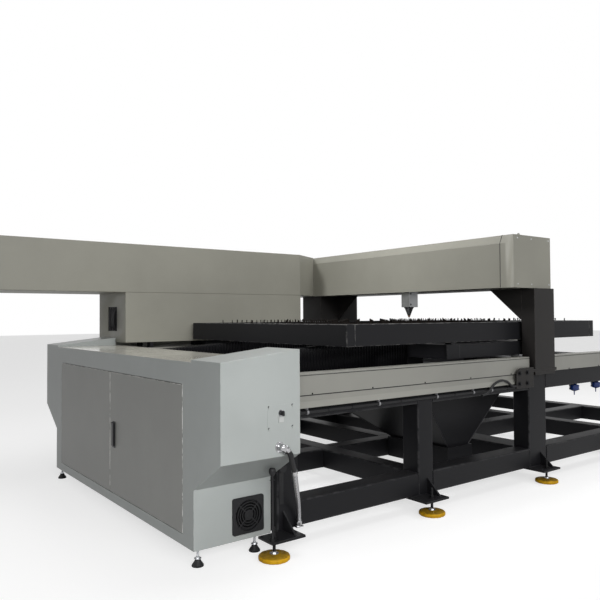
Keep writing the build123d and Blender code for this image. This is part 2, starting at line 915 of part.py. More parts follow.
def head_carriage():
    """Plate on four ball blocks, with the screw nut, the mirror box and the Z guide."""
    y = (table_mid_y - head_half_length, table_mid_y + head_half_length)
    body = block((head_plate_left, head_plate_left + head_plate), y,
                 (head_plate_low, head_plate_high))
    low_half = head_rail_width / 2 + slide_gap
    for z in head_rail_zs:
        pad = block((head_plate_left + head_plate, column_left - 4), y, (z - 24, z + 24))
        pad -= block((column_left - head_rail_depth - slide_gap, column_left),
                     (y[0] - 1, y[1] + 1), (z - low_half, z + low_half))
        body += pad
    body += block((head_spine_left, head_plate_left), (table_mid_y - 35, table_mid_y + 35),
                  (head_spine_low, head_spine_high))
    body += block((z_body_left - 2, head_spine_left), (table_mid_y - 40, table_mid_y + 40),
                  (mirror_box_low, mirror_box_high))
    body += block((z_rail_left, head_spine_left),
                  (table_mid_y - z_rail_half, table_mid_y + z_rail_half),
                  (head_spine_low, mirror_box_low))
    reach = (y[0] - 1, y[1] + 1)
    body -= bar_y(head_screw_x, reach, head_screw_z, head_screw_radius + running_fit)
    body -= bar_y(head_x, reach, beam_port_z, 18)
    return body


def z_slide():
    """Focusing head that rises and falls on the Z guide, down to its cone."""
    half = z_body_half
    gap = slide_gap
    body = block((z_body_left, head_spine_left - gap), (table_mid_y - half, table_mid_y + half),
                 (z_body_bottom, z_body_top))
    body -= block((z_rail_left - gap, head_spine_left + 1),
                  (table_mid_y - z_rail_half - gap, table_mid_y + z_rail_half + gap),
                  (z_body_bottom - 1, z_body_top + 1))
    body = body - bar_z(head_x, table_mid_y, (z_body_bottom + 20, z_body_top + 1), 24)
    cone = turned([(0, 0), (11, 0), (36, nozzle_cone), (0, nozzle_cone)],
                  head_x, table_mid_y, z_body_bottom - nozzle_cone)
    body = body + cone
    return body - bar_z(head_x, table_mid_y, (z_body_bottom - 70, z_body_bottom + 21), 5)


def nozzle():
    """Copper nozzle screwed into the cone, with its gas bore."""
    top = z_body_bottom - nozzle_cone
    height = top - nozzle_tip
    profile = [(1.5, 0), (4, 0), (10, height * 0.7), (10, height), (1.5, height)]
    return turned(profile, head_x, table_mid_y, nozzle_tip)


# Laser housing and its supports

def upper_outline(inset):
    """The upper beam's plan, its near corner cut off, moved in by inset."""
    right = beam_cover_left - inset
    return [
        (housing_left + inset, housing_near + inset),
        (housing_cut_x - inset * 0.3, housing_near + inset),
        (right, housing_cut_y + inset), (right, far_side - inset),
        (housing_left + inset, far_side - inset),
    ]


def lower_outline(inset):
    """The lower box's plan, moved in by inset."""
    x = (lower_left + inset, lower_right - inset)
    y = (housing_near + inset, far_side - inset)
    return [(x[0], y[0]), (x[1], y[0]), (x[1], y[1]), (x[0], y[1])]


def upright_panels(outline, z):
    """Mitred sheet panels along a plan's sides, between two heights."""
    outer, inner = outline(0), outline(housing_wall)
    corners = list(zip(outer, inner))
    return [run_z([a, b, b_in, a_in], z)
            for (a, a_in), (b, b_in) in zip(corners, corners[1:] + corners[:1])]


def laser_housing():
    """Welded sheet panels: an upper beam open to the beam cover, and a lower box."""
    upper = upright_panels(upper_outline, (gantry_z, cover_z - housing_wall))
    port = (beam_cover_left - housing_wall - 1, beam_cover_left + 1)
    upper[2] -= bar_x(port, beam_port_y, beam_port_z, beam_port)
    top = run_z(upper_outline(0), (cover_z - housing_wall, cover_z))
    soffit = run_z(upper_outline(housing_wall), (gantry_z, gantry_z + housing_wall))
    room = (lower_left + housing_wall, lower_right - housing_wall)
    reach_y = (housing_near, far_side)
    reach_z = (lower_bottom, cover_z)
    soffits = [soffit & block((housing_left, room[0]), reach_y, reach_z),
               soffit & block((room[1], beam_cover_left), reach_y, reach_z)]
    near, right, far, left = upright_panels(lower_outline, (lower_bottom + housing_wall, gantry_z))
    opening_y = (end_opening_near, end_opening_near + end_opening_width)
    opening_z = (end_opening_low, end_opening_low + end_opening_height)
    end_x = (lower_left, room[0])
    end = [
        left & block(end_x, reach_y, (lower_bottom, opening_z[0])),
        left & block(end_x, reach_y, (opening_z[1], gantry_z)),
        left & block(end_x, (housing_near, opening_y[0]), opening_z),
        left & block(end_x, (opening_y[1], far_side), opening_z),
    ]
    floor = run_z(lower_outline(0), (lower_bottom, lower_bottom + housing_wall))
    return upper + [top] + soffits + [near, right, far] + end + [floor]


def laser_source():
    """The resonator on its bench inside the housing, with the beam tube to the port."""
    floor = lower_bottom + housing_wall
    x = (lower_left + source_setback, lower_right - source_setback)
    y = (housing_near + source_air, far_side - source_air)
    top = cover_z - source_air - source_height
    body = block(x, y, (top, cover_z - source_air))
    body = fillet(body.edges().filter_by(Axis.X), 30)
    body += block((x[0] - bench_lip, x[1] + bench_lip), (y[0] - bench_lip / 5, y[1] + bench_lip / 5),
                  (top - bench_plate, top))
    body += bar_x((x[1], beam_cover_left - 30), beam_port_y, beam_port_z, beam_port / 2)
    half = bench_leg / 2
    for foot_x in (x[0] + bench_leg, x[1] - bench_leg):
        for foot_y in (y[0] + bench_leg, y[1] - bench_leg):
            body += block((foot_x - half, foot_x + half), (foot_y - half, foot_y + half),
                          (floor, top - bench_plate))
    return body


def housing_feet():
    """Blocks under the housing: near ones on the far cover, far ones down to the bed."""
    solids = []
    for span in foot_spans:
        solids.append(block(span, (foot_near, foot_near + foot_depth),
                            (far_cover_top, lower_bottom)))
        solids.append(block(span, (foot_far, foot_far + foot_depth), (bed_top, lower_bottom)))
    return solids


# Electrical cabinet

pivot_x = cabinet_front + pivot_inset
pivot_ys = [pivot_inset - door_half_span, door_half_span - pivot_inset]


def cabinet_outline(inset):
    """The cabinet's stepped front view, moved in by inset."""
    lean = atan((cabinet_half - plinth_half) / (shoulder_z - plinth_top))
    half = plinth_half - inset
    wide = cabinet_half - inset
    low = plinth_top + inset * tan(lean / 2)
    high = shoulder_z + inset * tan(lean / 2)
    return [(-half, cabinet_bottom + inset), (half, cabinet_bottom + inset), (half, low),
            (wide, high), (wide, wing_front_z - inset), (-wide, wing_front_z - inset),
            (-wide, high), (-half, low)]


def wing(side, inset):
    """Sloping top of one end of the cabinet, moved in by inset."""
    y = sorted((side * (wing_inner + inset), side * (cabinet_half - inset)))
    rise = [(cabinet_front + inset, wing_front_z - 40), (cabinet_back - inset, wing_front_z - 40),
            (cabinet_back - inset, wing_back_z - inset),
            (cabinet_front + inset, wing_front_z - inset)]
    return run_y(rise, y)


def cabinet_shell():
    """Welded sheet shell: stepped ends, sloping wings, a door opening and a top opening."""
    body = run_x(cabinet_outline(0), (cabinet_front, cabinet_back))
    body += wing(-1, 0) + wing(1, 0)
    room = run_x(cabinet_outline(sheet), (cabinet_front + sheet, cabinet_back - sheet))
    room += wing(-1, sheet) + wing(1, sheet)
    body -= room
    lid = (-wing_inner, wing_inner)
    under = (cabinet_top_z - 2 * sheet, cabinet_top_z - sheet)
    body -= block((cabinet_front - 1, cabinet_back + 1), lid,
                  (cabinet_top_z - sheet, wing_back_z + 1))
    for side in (-1, 1):
        cheek = sorted((side * wing_inner, side * (wing_inner + sheet)))
        rise = [(cabinet_front, under[0]), (cabinet_back, under[0]),
                (cabinet_back, wing_back_z), (cabinet_front, wing_front_z)]
        body += run_y(rise, cheek)
    for x in (cabinet_front + sheet, cabinet_back - sheet - lid_flange):
        body += block((x, x + lid_flange), lid, under)
    opening_y = (-door_half_span - door_gap, door_half_span + door_gap)
    opening_z = (door_bottom - door_gap, door_top + door_gap)
    frame = block((cabinet_front + sheet, cabinet_front + door_lip),
                  (opening_y[0] - sheet, opening_y[1] + sheet),
                  (opening_z[0] - sheet, opening_z[1] + sheet))
    body += frame
    body -= block((cabinet_front - 1, cabinet_front + door_lip + 1), opening_y, opening_z)
    for y in pivot_ys:
        body -= bar_z(pivot_x, y, (opening_z[0] - 2 * sheet, opening_z[1] + 2 * sheet),
                      pivot_radius)
    body -= bar_y(fan_x, (-plinth_half - 1, sheet + 1 - plinth_half), fan_z, fan_bore)
    body -= bar_y(fitting_x, (-cabinet_half - 1, sheet + 1 - cabinet_half), fitting_z, 14)
    return body - bar_y(key_x, (-cabinet_half - 1, sheet + 1 - cabinet_half), key_z, 11)


def cabinet_lid():
    """Flat lid between the wings."""
    gap = 0.5
    return block((cabinet_front, cabinet_back), (gap - wing_inner, wing_inner - gap),
                 (cabinet_top_z - sheet, cabinet_top_z))


def door(y, pivot_y):
    """A folded door pan, open at the back, turning on pins near its outer edge."""
    pan = block((cabinet_front, cabinet_front + door_depth), y, (door_bottom, door_top))
    pan -= block((cabinet_front + sheet, cabinet_front + door_depth + 1),
                 (y[0] + sheet, y[1] - sheet), (door_bottom + sheet, door_top - sheet))
    hole = pivot_radius + running_fit
    return pan - bar_z(pivot_x, pivot_y, (door_bottom - 1, door_top + 1), hole)


def door_pins():
    """Four short pivot pins between the doors' flanges and the opening's lip."""
    top = door_top + door_gap + sheet
    low = door_bottom - door_gap - sheet
    solids = []
    for y in pivot_ys:
        solids.append(bar_z(pivot_x, y, (top - pivot_length, top), pivot_radius))
        solids.append(bar_z(pivot_x, y, (low, low + pivot_length), pivot_radius))
    return solids


lock_top = lock_bottom + lock_height
lock_pivot_z = lock_top - 12
lock_pivot_x = cabinet_front - 8


def lock_plate():
    """Flat lock case on the near door, with two ears for the lever's pin."""
    half = lock_width / 2
    body = block((cabinet_front - 4, cabinet_front), (lock_y - half, lock_y + half),
                 (lock_bottom, lock_top))
    body = fillet(body.edges().filter_by(Axis.X), 6)
    for y in (lock_y - half + 2, lock_y + half - 5):
        ear = block((cabinet_front - 12, cabinet_front - 4), (y, y + 3),
                    (lock_pivot_z - 7, lock_pivot_z + 7))
        body += ear
    pin = (lock_y - half, lock_y + half)
    return body - bar_y(lock_pivot_x, pin, lock_pivot_z, 2 + running_fit)


def lock_lever():
    """Swing lever with its cross pin at the top end."""
    half = lock_width / 2 - 6
    body = block((cabinet_front - 12, cabinet_front - 4.3), (lock_y - half, lock_y + half),
                 (lock_bottom + 10, lock_pivot_z + 3.5))
    body = fillet(body.edges().filter_by(Axis.X).group_by(Axis.Z)[0], 5)
    body = fillet(body.edges().filter_by(Axis.Y).group_by(Axis.Z)[-1], 3.5)
    return body + bar_y(lock_pivot_x, (lock_y - half - 3.5, lock_y + half + 3.5), lock_pivot_z, 2)


def mounting_plate():
    """Galvanised plate on four spacers in front of the back wall."""
    back = cabinet_back - sheet
    half = door_half_span - plate_margin
    level = (door_bottom + plate_margin / 2, door_top - plate_margin / 2)
    plate = block((back - plate_gap - sheet, back - plate_gap), (-half, half), level)
    for y in (plate_margin - half, half - plate_margin):
        for z in (level[0] + plate_margin, level[1] - plate_margin):
            plate += bar_x((back - plate_gap, back), y, z, 12)
    return plate


def electrical_modules():
    """Drives, controller, contactors and transformer on the mounting plate."""
    face = cabinet_back - sheet - plate_gap - sheet
    half = door_half_span - plate_margin
    solids = []
    for share, z, width, height, depth in module_places:
        y = share * half
        body = block((face - depth, face), (y - width / 2, y + width / 2), (z, z + height))
        solids.append(chamfer(body.faces().sort_by(Axis.X)[0].edges(), 6))
    return solids


def cabinet_feet():
    """Bell-shaped levelling feet on threaded stems."""
    profile = [(0, 0), (foot_radius, 0), (foot_radius - 2, foot_cup * 0.25),
               (foot_radius * 0.55, foot_cup * 0.6), (foot_radius * 0.42, foot_cup),
               (6, foot_cup), (6, cabinet_bottom), (0, cabinet_bottom)]
    solids = []
    for x in (cabinet_front + foot_inset_x, cabinet_back - 80):
        for y in (foot_inset_y - plinth_half, plinth_half - foot_inset_y):
            solids.append(turned(profile, x, y))
    return solids


def fan_guard():
    """Square pressed guard with round bars, four spokes and a blank hub."""
    half = guard_size / 2
    y = (-plinth_half - guard_plate, -plinth_half)
    plane = Plane(origin=(fan_x, -plinth_half, fan_z), x_dir=(1, 0, 0), z_dir=(0, -1, 0))
    rings = RectangleRounded(guard_size, guard_size, 10) - Circle(half - 12)
    for radius in (63, 50, 37):
        rings += Circle(radius) - Circle(radius - 5)
    rings += Circle(24)
    for angle in (45, 135):
        rings += Rot(0, 0, angle) * Rectangle(guard_size - 16, 6)
    guard = extrude(plane * rings, guard_plate)
    return chamfer(guard.faces().sort_by(Axis.Y)[0].outer_wire().edges(), 2)


def fan_frame():
    """Square fan housing with a motor boss on four arms and its shaft."""
    y0 = sheet - plinth_half
    y = (y0, y0 + fan_depth)
    half = fan_size / 2
    body = block((fan_x - half, fan_x + half), y, (fan_z - half, fan_z + half))
    body -= bar_y(fan_x, (y[0] - 1, y[1] + 1), fan_z, fan_bore)
    arms = (y[1] - 5, y[1])
    cross = block((fan_x - fan_bore - 1, fan_x + fan_bore + 1), arms, (fan_z - 4, fan_z + 4))
    cross += block((fan_x - 4, fan_x + 4), arms, (fan_z - fan_bore - 1, fan_z + fan_bore + 1))
    body += cross + bar_y(fan_x, arms, fan_z, 22)
    return body + bar_y(fan_x, (y[0] + 8, y[1] - 4), fan_z, 4)


def fan_impeller():
    """Hub with pitched blades, turning on the fan's shaft."""
    y0 = sheet - plinth_half
    y = (y0 + 5, y0 + fan_depth - 6)
    mid = sum(y) / 2
    body = bar_y(fan_x, y, fan_z, hub_radius)
    reach = fan_bore - 4
    for i in range(blade_count):
        turn = 360 / blade_count * i
        span = reach - hub_radius + 4
        blade = Pos(0, 0, hub_radius - 4 + span / 2) * Rot(0, 0, 35) * Box(2, 24, span)
        body += Pos(fan_x, mid, fan_z) * Rot(0, turn, 0) * blade
    return body - bar_y(fan_x, (y0, y0 + fan_depth), fan_z, 4 + running_fit)


def key_switch():
    """Round bezel of the main key switch in the near end face."""
    face = -cabinet_half - end_plate
    body = bar_y(key_x, (face - 6, face), key_z, 15) + bar_y(key_x, (face, face + 30), key_z, 11)
    return body - bar_y(key_x, (face - 7, face + 12), key_z, 8 + running_fit)


def key():
    """Turning barrel with a flat grip."""
    face = -cabinet_half - end_plate
    body = bar_y(key_x, (face - 9, face + 11), key_z, 8)
    return body + block((key_x - 3, key_x + 3), (face - 26, face - 9), (key_z - 11, key_z + 11))


def conduit_fittings():
    """Chromed elbow on the cabinet's end, and the gland on the bed's lower rail."""
    face = -cabinet_half
    elbow = bar_y(fitting_x, (face - 8, face), fitting_z, 23)
    elbow += bar_y(fitting_x, (face - 26, face), fitting_z, 18)
    elbow += bar_x((fitting_x, conduit_route[0][0]), face - 26, fitting_z, 17)
    elbow += Pos(fitting_x, face - 26, fitting_z) * Sphere(18)
    elbow += bar_y(fitting_x, (face, face + sheet), fitting_z, 14)
    x, y, z = conduit_route[-1]
    gland = block((x - 16, x + 16), (y - 16, -bed_half_width), (bed_bottom + 4, z))
    return [elbow, gland]


conduit_start = -cabinet_half - 26
conduit_end = -bed_half_width - 21
conduit_places = [  # X from the bed's end, share of the way in, z
    (-84, 0.0, fitting_z), (-48, 0.0, fitting_z), (-28, 0.06, 488), (2, 0.36, 412),
    (50, 0.66, 325), (92, 0.9, 228), (110, 1.0, 165), (110, 1.0, 122),
]
conduit_route = [
    (bed_left + x, conduit_start + share * (conduit_end - conduit_start), z)
    for x, share, z in conduit_places
]


def bend_radii(route):
    """The largest arcs that fit a route's runs, one for each corner."""
    radii = []
    for a, b, c in zip(route, route[1:], route[2:]):
        first = Vector(*b) - Vector(*a)
        second = Vector(*c) - Vector(*b)
        turn = first.get_angle(second) * pi / 180
        radii.append(0.45 * min(first.length, second.length) / tan(turn / 2))
    return radii


def swept_cable(route, radius):
    """A round cable along straight runs joined by arcs."""
    path = FilletPolyline(*route, radius=bend_radii(route))
    start = Plane(origin=path @ 0, z_dir=path % 0)
    return sweep(start * Circle(radius), path)


def conduit():
    return swept_cable(conduit_route, conduit_radius)


# Cables and filters under the near rail

cable_y = -bed_half_width - cable_radius - 1
skirt_flare_y = sheet - cover_face - skirt_flare
loop_y = skirt_flare_y - 9
loop_route = [
    (-170, loop_y, 622), (-105, loop_y, 638), (-40, loop_y, 686), (35, loop_y, 703),
    (100, loop_y, 690), (142, loop_y, 655), (foot_plate_left, loop_y, 655),
]


def cable_bundle():
    """Main cable along the rail and a second one that rises in an arc by the column."""
    main = bar_x((bays[0][0], post_3_left), cable_y, cable_z, cable_radius)
    return [main, swept_cable(loop_route, 8)]


def cable_clips():
    """P-clips round the main cable, each with its tab on the rail's face."""
    solids = []
    outer = cable_radius + clip_wall
    for x in clip_xs:
        span = (x - clip_width / 2, x + clip_width / 2)
        ring = bar_x(span, cable_y, cable_z, outer)
        ring += block(span, (cable_y, -bed_half_width), (cable_z + cable_radius, cable_z + outer + 9))
        ring -= bar_x((span[0] - 1, span[1] + 1), cable_y, cable_z, cable_radius)
        ring -= block(span, (-bed_half_width, -bed_half_width + 20), (cable_z - 40, cable_z + 40))
        solids.append(ring)
    return solids


def filter_cups():
    """Two air filters under the near rail: head, bowl and drain spike."""
    top = bed_top - tube
    y = tube / 2 - bed_half_width
    profile = [(0, 0), (3.5, 0), (4, 26), (14, 30), (cup_radius * 0.8, 36),
               (cup_radius, cup_height), (cup_radius, cup_height + 26),
               (18, cup_height + 30), (18, cup_height + 42), (0, cup_height + 42)]
    return [turned(profile, x, y, top - cup_height - 42) for x in cup_xs]


def end_plates():
    """Service plate with four screws, and the key switch's small plate below it."""
    face = -cabinet_half - end_plate
    plate = block((service_left, service_right), (face, -cabinet_half),
                  (service_low, service_high))
    plate -= bar_y(key_x, (face - 1, 1 - cabinet_half), key_z, 11)
    for x in (service_left + 10, service_right - 10):
        for z in (service_low + 10, service_high - 10):
            plate += bar_y(x, (face - 4, face), z, 6)
    return plate + block((key_x - 15, key_x + 10), (face - 1, face), (key_z - 42, key_z - 17))


def bumper():
    """Rubber bumper on a steel strip, on the near top rail beside the cabinet."""
    face = -bed_half_width
    level = (bed_bottom + tube, bumper_z + 38)
    strip = block((bumper_x - 12, bumper_x + 12), (face - 4, face), level)
    return strip + bar_y(bumper_x, (face - 22, face), bumper_z, 20)


nodes = {
    "posts": posts,
    "bottom_rails": bottom_rails,
    "top_rails": top_rails,
    "cross_tubes": cross_tubes,
    "guide_beams": guide_beams,
    "linear_rails": linear_rails,
    "pad_brackets": pad_brackets,
    "pad_studs": pad_studs,
    "machine_pads": machine_pads,
    "rail_cover_near": rail_cover_near,
    "rail_skirt_near": rail_skirt_near,
    "rail_cover_far": rail_cover_far,
    "bellows": bellows,
    "bellows_stands": bellows_stands,
    "hopper": hopper,
    "hopper_outlet": hopper_outlet,
    "cable_bundle": cable_bundle,
    "cable_clips": cable_clips,
    "filter_cups": filter_cups,
    "near_column": near_column,
    "far_column": far_column,
    "gantry_beam": gantry_beam,
    "beam_cover": beam_cover,
    "beam_end_cap": beam_end_cap,
    "head_rails": head_rails,
    "head_screw": head_screw,
    "head_supports": head_supports,
    "head_carriage": head_carriage,
    "z_slide": z_slide,
    "nozzle": nozzle,
    "laser_housing": laser_housing,
    "laser_source": laser_source,
    "housing_feet": housing_feet,
    "cabinet_shell": cabinet_shell,
    "cabinet_lid": cabinet_lid,
    "door_near": lambda: door((-door_half_span, -door_gap / 2), pivot_ys[0]),
    "door_far": lambda: door((door_gap / 2, door_half_span), pivot_ys[1]),
    "door_pins": door_pins,
    "lock_plate": lock_plate,
    "lock_lever": lock_lever,
    "mounting_plate": mounting_plate,
    "electrical_modules": electrical_modules,
    "cabinet_feet": cabinet_feet,
    "fan_guard": fan_guard,
    "fan_frame": fan_frame,
    "fan_impeller": fan_impeller,
    "key_switch": key_switch,
    "key": key,
    "conduit_fittings": conduit_fittings,
    "conduit": conduit,
    "end_plates": end_plates,
    "bumper": bumper,
    "carriage_frame": carriage_frame,
    "guide_blocks": guide_blocks,
    "table_frame": table_frame,
    "support_strips": support_strips,
    "ball_screw": ball_screw,
    "nut_motor": nut_motor,
    "drive_nut": drive_nut,
}

os.makedirs("parts", exist_ok=True)
for name, make in nodes.items():
    solids = make()
    shape = Compound(solids) if isinstance(solids, list) else solids
    export_step(shape, f"parts/{name}.step")
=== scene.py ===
from math import pi, radians, sin

import bmesh
import bpy
from mathutils import Matrix, Vector


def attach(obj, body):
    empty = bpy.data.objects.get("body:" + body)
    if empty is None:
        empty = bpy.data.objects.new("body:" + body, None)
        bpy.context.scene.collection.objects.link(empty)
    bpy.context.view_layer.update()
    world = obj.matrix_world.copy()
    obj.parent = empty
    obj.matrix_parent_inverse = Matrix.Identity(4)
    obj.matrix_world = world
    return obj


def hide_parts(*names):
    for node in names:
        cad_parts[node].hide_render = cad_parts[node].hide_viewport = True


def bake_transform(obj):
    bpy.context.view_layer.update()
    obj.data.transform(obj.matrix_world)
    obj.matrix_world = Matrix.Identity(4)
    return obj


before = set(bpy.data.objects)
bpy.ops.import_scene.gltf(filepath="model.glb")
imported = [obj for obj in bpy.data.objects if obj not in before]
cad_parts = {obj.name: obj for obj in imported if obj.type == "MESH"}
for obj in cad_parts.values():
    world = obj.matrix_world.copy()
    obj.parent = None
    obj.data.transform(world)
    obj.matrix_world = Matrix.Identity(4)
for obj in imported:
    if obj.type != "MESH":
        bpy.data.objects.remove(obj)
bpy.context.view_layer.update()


# Hall floor, soft lights and camera
# A plain pale floor under a white surround. The lights are wide and soft, and
# most of their light comes from the bed's open side and from above.

class Wire:
    """A shader socket that takes part in sums and makes further nodes."""

    def __init__(self, tree, socket):
        self.tree = tree
        self.socket = socket

    def node(self, kind, settings=None, sockets=None, output=0):
        made = self.tree.nodes.new(kind)
        for key, value in (settings or {}).items():
            if key == "stops":
                ramp = made.color_ramp
                while len(ramp.elements) < len(value):
                    ramp.elements.new(0.5)
                for element, (place, shade) in zip(ramp.elements, value):
                    element.position = place
                    element.color = (shade, shade, shade, 1.0)
            else:
                setattr(made, key, value)
        for key, value in (sockets or {}).items():
            if isinstance(value, Wire):
                self.tree.links.new(value.socket, made.inputs[key])
            else:
                made.inputs[key].default_value = value
        return Wire(self.tree, made.outputs[output])

    def maths(self, operation, first, second=0.0):
        settings = {"operation": operation}
        return self.node("ShaderNodeMath", settings, {0: first, 1: second})

    def __add__(self, other):
        return self.maths("ADD", self, other)

    def __radd__(self, other):
        return self.maths("ADD", other, self)

    def __sub__(self, other):
        return self.maths("SUBTRACT", self, other)

    def __rsub__(self, other):
        return self.maths("SUBTRACT", other, self)

    def __mul__(self, other):
        return self.maths("MULTIPLY", self, other)

    def __rmul__(self, other):
        return self.maths("MULTIPLY", other, self)

    def held(self):
        """The same value, kept between 0 and 1."""
        return self.node("ShaderNodeClamp", None, {"Value": self})

    def join(self, node, name):
        self.tree.links.new(self.socket, node.inputs[name])


def seen_directly(tree):
    """1 on rays that come straight from the camera, a mirror or glass, else 0."""
    rays = [Wire(tree, None).node("ShaderNodeLightPath", output=f"Is {kind} Ray")
            for kind in ("Camera", "Glossy", "Transmission")]
    return (rays[0] + rays[1] + rays[2]).held()


white = (1.0, 1.0, 1.0, 1.0)
floor_tone = 0.46
floor_glow = 0.66               # seen by the camera only, so that the floor looks white
ambient = 0.07

world = bpy.data.worlds.new("surround")
bpy.context.scene.world = world
world.use_nodes = True
surround = world.node_tree.nodes["Background"]
surround.inputs["Color"].default_value = white
(seen_directly(world.node_tree) * (1.0 - ambient) + ambient).join(surround, "Strength")

ground = bmesh.new()
bmesh.ops.create_grid(ground, x_segments=4, y_segments=4, size=40.0)
ground_mesh = bpy.data.meshes.new("hall_floor")
ground.to_mesh(ground_mesh)
ground.free()
floor = bpy.data.objects.new("hall_floor", ground_mesh)
bpy.context.scene.collection.objects.link(floor)

floor_material = bpy.data.materials.new("pale_floor")
floor_material.use_nodes = True
floor_tree = floor_material.node_tree
floor_shader = floor_tree.nodes["Principled BSDF"]
floor_shader.inputs["Base Color"].default_value = (floor_tone, floor_tone, floor_tone, 1.0)
floor_shader.inputs["Roughness"].default_value = 0.9
floor_shader.inputs["Specular IOR Level"].default_value = 0.1
floor_shader.inputs["Emission Color"].default_value = white
(seen_directly(floor_tree) * floor_glow).join(floor_shader, "Emission Strength")
ground_mesh.materials.append(floor_material)


def soft_light(name, place, target, width, height, power, spread=180.0):
    """A rectangular soft light that looks from its place to a target."""
    lamp = bpy.data.lights.new(name, "AREA")
    lamp.shape = "RECTANGLE"
    lamp.size = width
    lamp.size_y = height
    lamp.energy = power
    lamp.spread = radians(spread)
    holder = bpy.data.objects.new(name, lamp)
    aim = Vector(target) - Vector(place)
    holder.rotation_euler = aim.to_track_quat("-Z", "Y").to_euler()
    holder.location = place
    bpy.context.scene.collection.objects.link(holder)


soft_light("open_side", (-3.1, -12.3, 5.2), (-0.4, 0.0, 0.9), 10.0, 4.5, 865.0)
soft_light("ceiling", (1.0, -0.6, 6.5), (0.2, 0.0, 0.6), 5.0, 5.0, 225.0)
soft_light("cabinet_corner", (-3.5, -3.4, 1.5), (-2.1, -1.25, 0.6), 1.2, 1.0, 6.0, 75.0)
soft_light("gantry_side", (-3.6, 0.4, 4.1), (0.17, -0.1, 1.5), 1.2, 1.2, 15.0, 50.0)

# The camera's place, turn and lens were fitted to straight edges in the photo.
eye = bpy.data.cameras.new("eye")
eye.sensor_width = 36.0
eye.lens = 38.417
eye.clip_end = 100.0
camera = bpy.data.objects.new("camera", eye)
yaw, pitch, roll = radians(53.02442533), radians(1.44885243), radians(0.35740505)
camera.matrix_world = (
    Matrix.Translation((-3.455, -3.606, 1.120))
    @ Matrix.Rotation(yaw - pi / 2, 4, "Z")
    @ Matrix.Rotation(pi / 2 + pitch, 4, "X")
    @ Matrix.Rotation(-roll, 4, "Z")
)
bpy.context.scene.collection.objects.link(camera)
bpy.context.scene.camera = camera
bpy.context.scene.view_settings.view_transform = "Standard"


# Bed
# Posts, rails and cross tubes of 125 mm square steel tube, welded together and
# sprayed with satin charcoal enamel. The tubes' corners are rolled round.

def surface(name, roughness, metallic=0.0, gloss=0.5):
    """A new material, its shader, and its pattern's coordinates in metres."""
    material = bpy.data.materials.new(name)
    material.use_nodes = True
    tree = material.node_tree
    shader = tree.nodes["Principled BSDF"]
    shader.inputs["Roughness"].default_value = roughness
    shader.inputs["Metallic"].default_value = metallic
    shader.inputs["Specular IOR Level"].default_value = gloss
    place = Wire(tree, None).node("ShaderNodeTexCoord", output="Object")
    return material, shader, place


def grain(place, scale, detail=3.0, stretch=None):
    """Soft noise from 0 to 1. scale is its blobs per metre."""
    if stretch:
        mapped = {"Vector": place, "Scale": stretch}
        place = place.node("ShaderNodeMapping", None, mapped)
    return place.node(
        "ShaderNodeTexNoise", {"noise_dimensions": "3D"},
        {"Vector": place, "Scale": scale, "Detail": detail, "Roughness": 0.55},
    )


def between(amount, first, second):
    """Two colours, mixed by an amount from 0 to 1."""
    sockets = {"Factor": amount}
    for colour_input, shade in ((6, first), (7, second)):
        sockets[colour_input] = shade if isinstance(shade, Wire) else (*shade, 1.0)
    return amount.node("ShaderNodeMix", {"data_type": "RGBA"}, sockets, 2)


def step(value, low, high):
    """0 below low, 1 above high, smooth between."""
    return value.node(
        "ShaderNodeMapRange", {"interpolation_type": "SMOOTHSTEP"},
        {"Value": value, "From Min": low, "From Max": high},
    )


def raised(place, height, distance, strength=1.0):
    """A bump of a height map, distance in metres."""
    return place.node(
        "ShaderNodeBump", None,
        {"Height": height, "Distance": distance, "Strength": strength},
    )


def edges_of(place):
    """1 on a piece's broken edges, else 0."""
    return place.node(
        "ShaderNodeAttribute",
        {"attribute_name": "edge", "attribute_type": "GEOMETRY"}, None, 2,
    )


def enamel(name, shade, worn_and_highlight, dust, roughness, wear=0.5, gloss=0.5, peel=0.00006):
    """Sprayed enamel: clouded tone, orange peel, dusty tops, and pale broken edges: rubbed
    wear, and on the door and table coats painted highlights.
    """
    material, shader, place = surface(name, roughness, 0.0, gloss)
    cloud = step(grain(place, 1.7, 4.0), 0.3, 0.7)
    speck = step(grain(place, 55.0, 2.0), 0.42, 0.72)
    dim, bright = ([part * share for part in shade] for share in (0.93, 1.06))
    tone = between(cloud, dim, bright)
    normal = place.node("ShaderNodeNewGeometry", output="Normal")
    height = normal.node("ShaderNodeSeparateXYZ", None, {"Vector": normal}, 2)
    upward = step(height, 0.6, 0.95)
    settled = upward * step(grain(place, 6.0, 5.0), 0.30, 0.80) * 0.4
    tone = between(settled, tone, dust)
    # Pale broken edges: rubbed wear, and on the door and table coats a painted highlight.
    rubbed_and_highlit = edges_of(place) * step(grain(place, 22.0, 4.0), 0.42, 0.6) * wear
    between(rubbed_and_highlit, tone, worn_and_highlight).join(shader, "Base Color")
    sheen = roughness - 0.02 + cloud * 0.03 + speck * 0.012 + settled * 0.12
    sheen.join(shader, "Roughness")
    raised(place, grain(place, 650.0, 2.0), peel).join(shader, "Normal")
    return material


def finish(obj, material, body, sharp=35.0):
    """Shades a piece, gives it its material and hangs it on its body, if it has one."""
    obj.data.materials.clear()
    obj.data.materials.append(material)
    obj.data.shade_smooth()
    obj.data.set_sharp_from_angle(angle=radians(sharp))
    weighting = obj.modifiers.new("flat_faces", "WEIGHTED_NORMAL")
    weighting.keep_sharp = True
    if body:
        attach(obj, body)
    return obj


def piece(name, form, material, body, sharp=35.0):
    """A new object from a bmesh, which it frees."""
    mesh = bpy.data.meshes.new(name)
    form.to_mesh(mesh)
    form.free()
    obj = bpy.data.objects.new(name, mesh)
    bpy.context.scene.collection.objects.link(obj)
    return finish(obj, material, body, sharp)


def ordered(items):
    """Each item once, in the order met, so that every run makes the same mesh."""
    return list(dict.fromkeys(items))


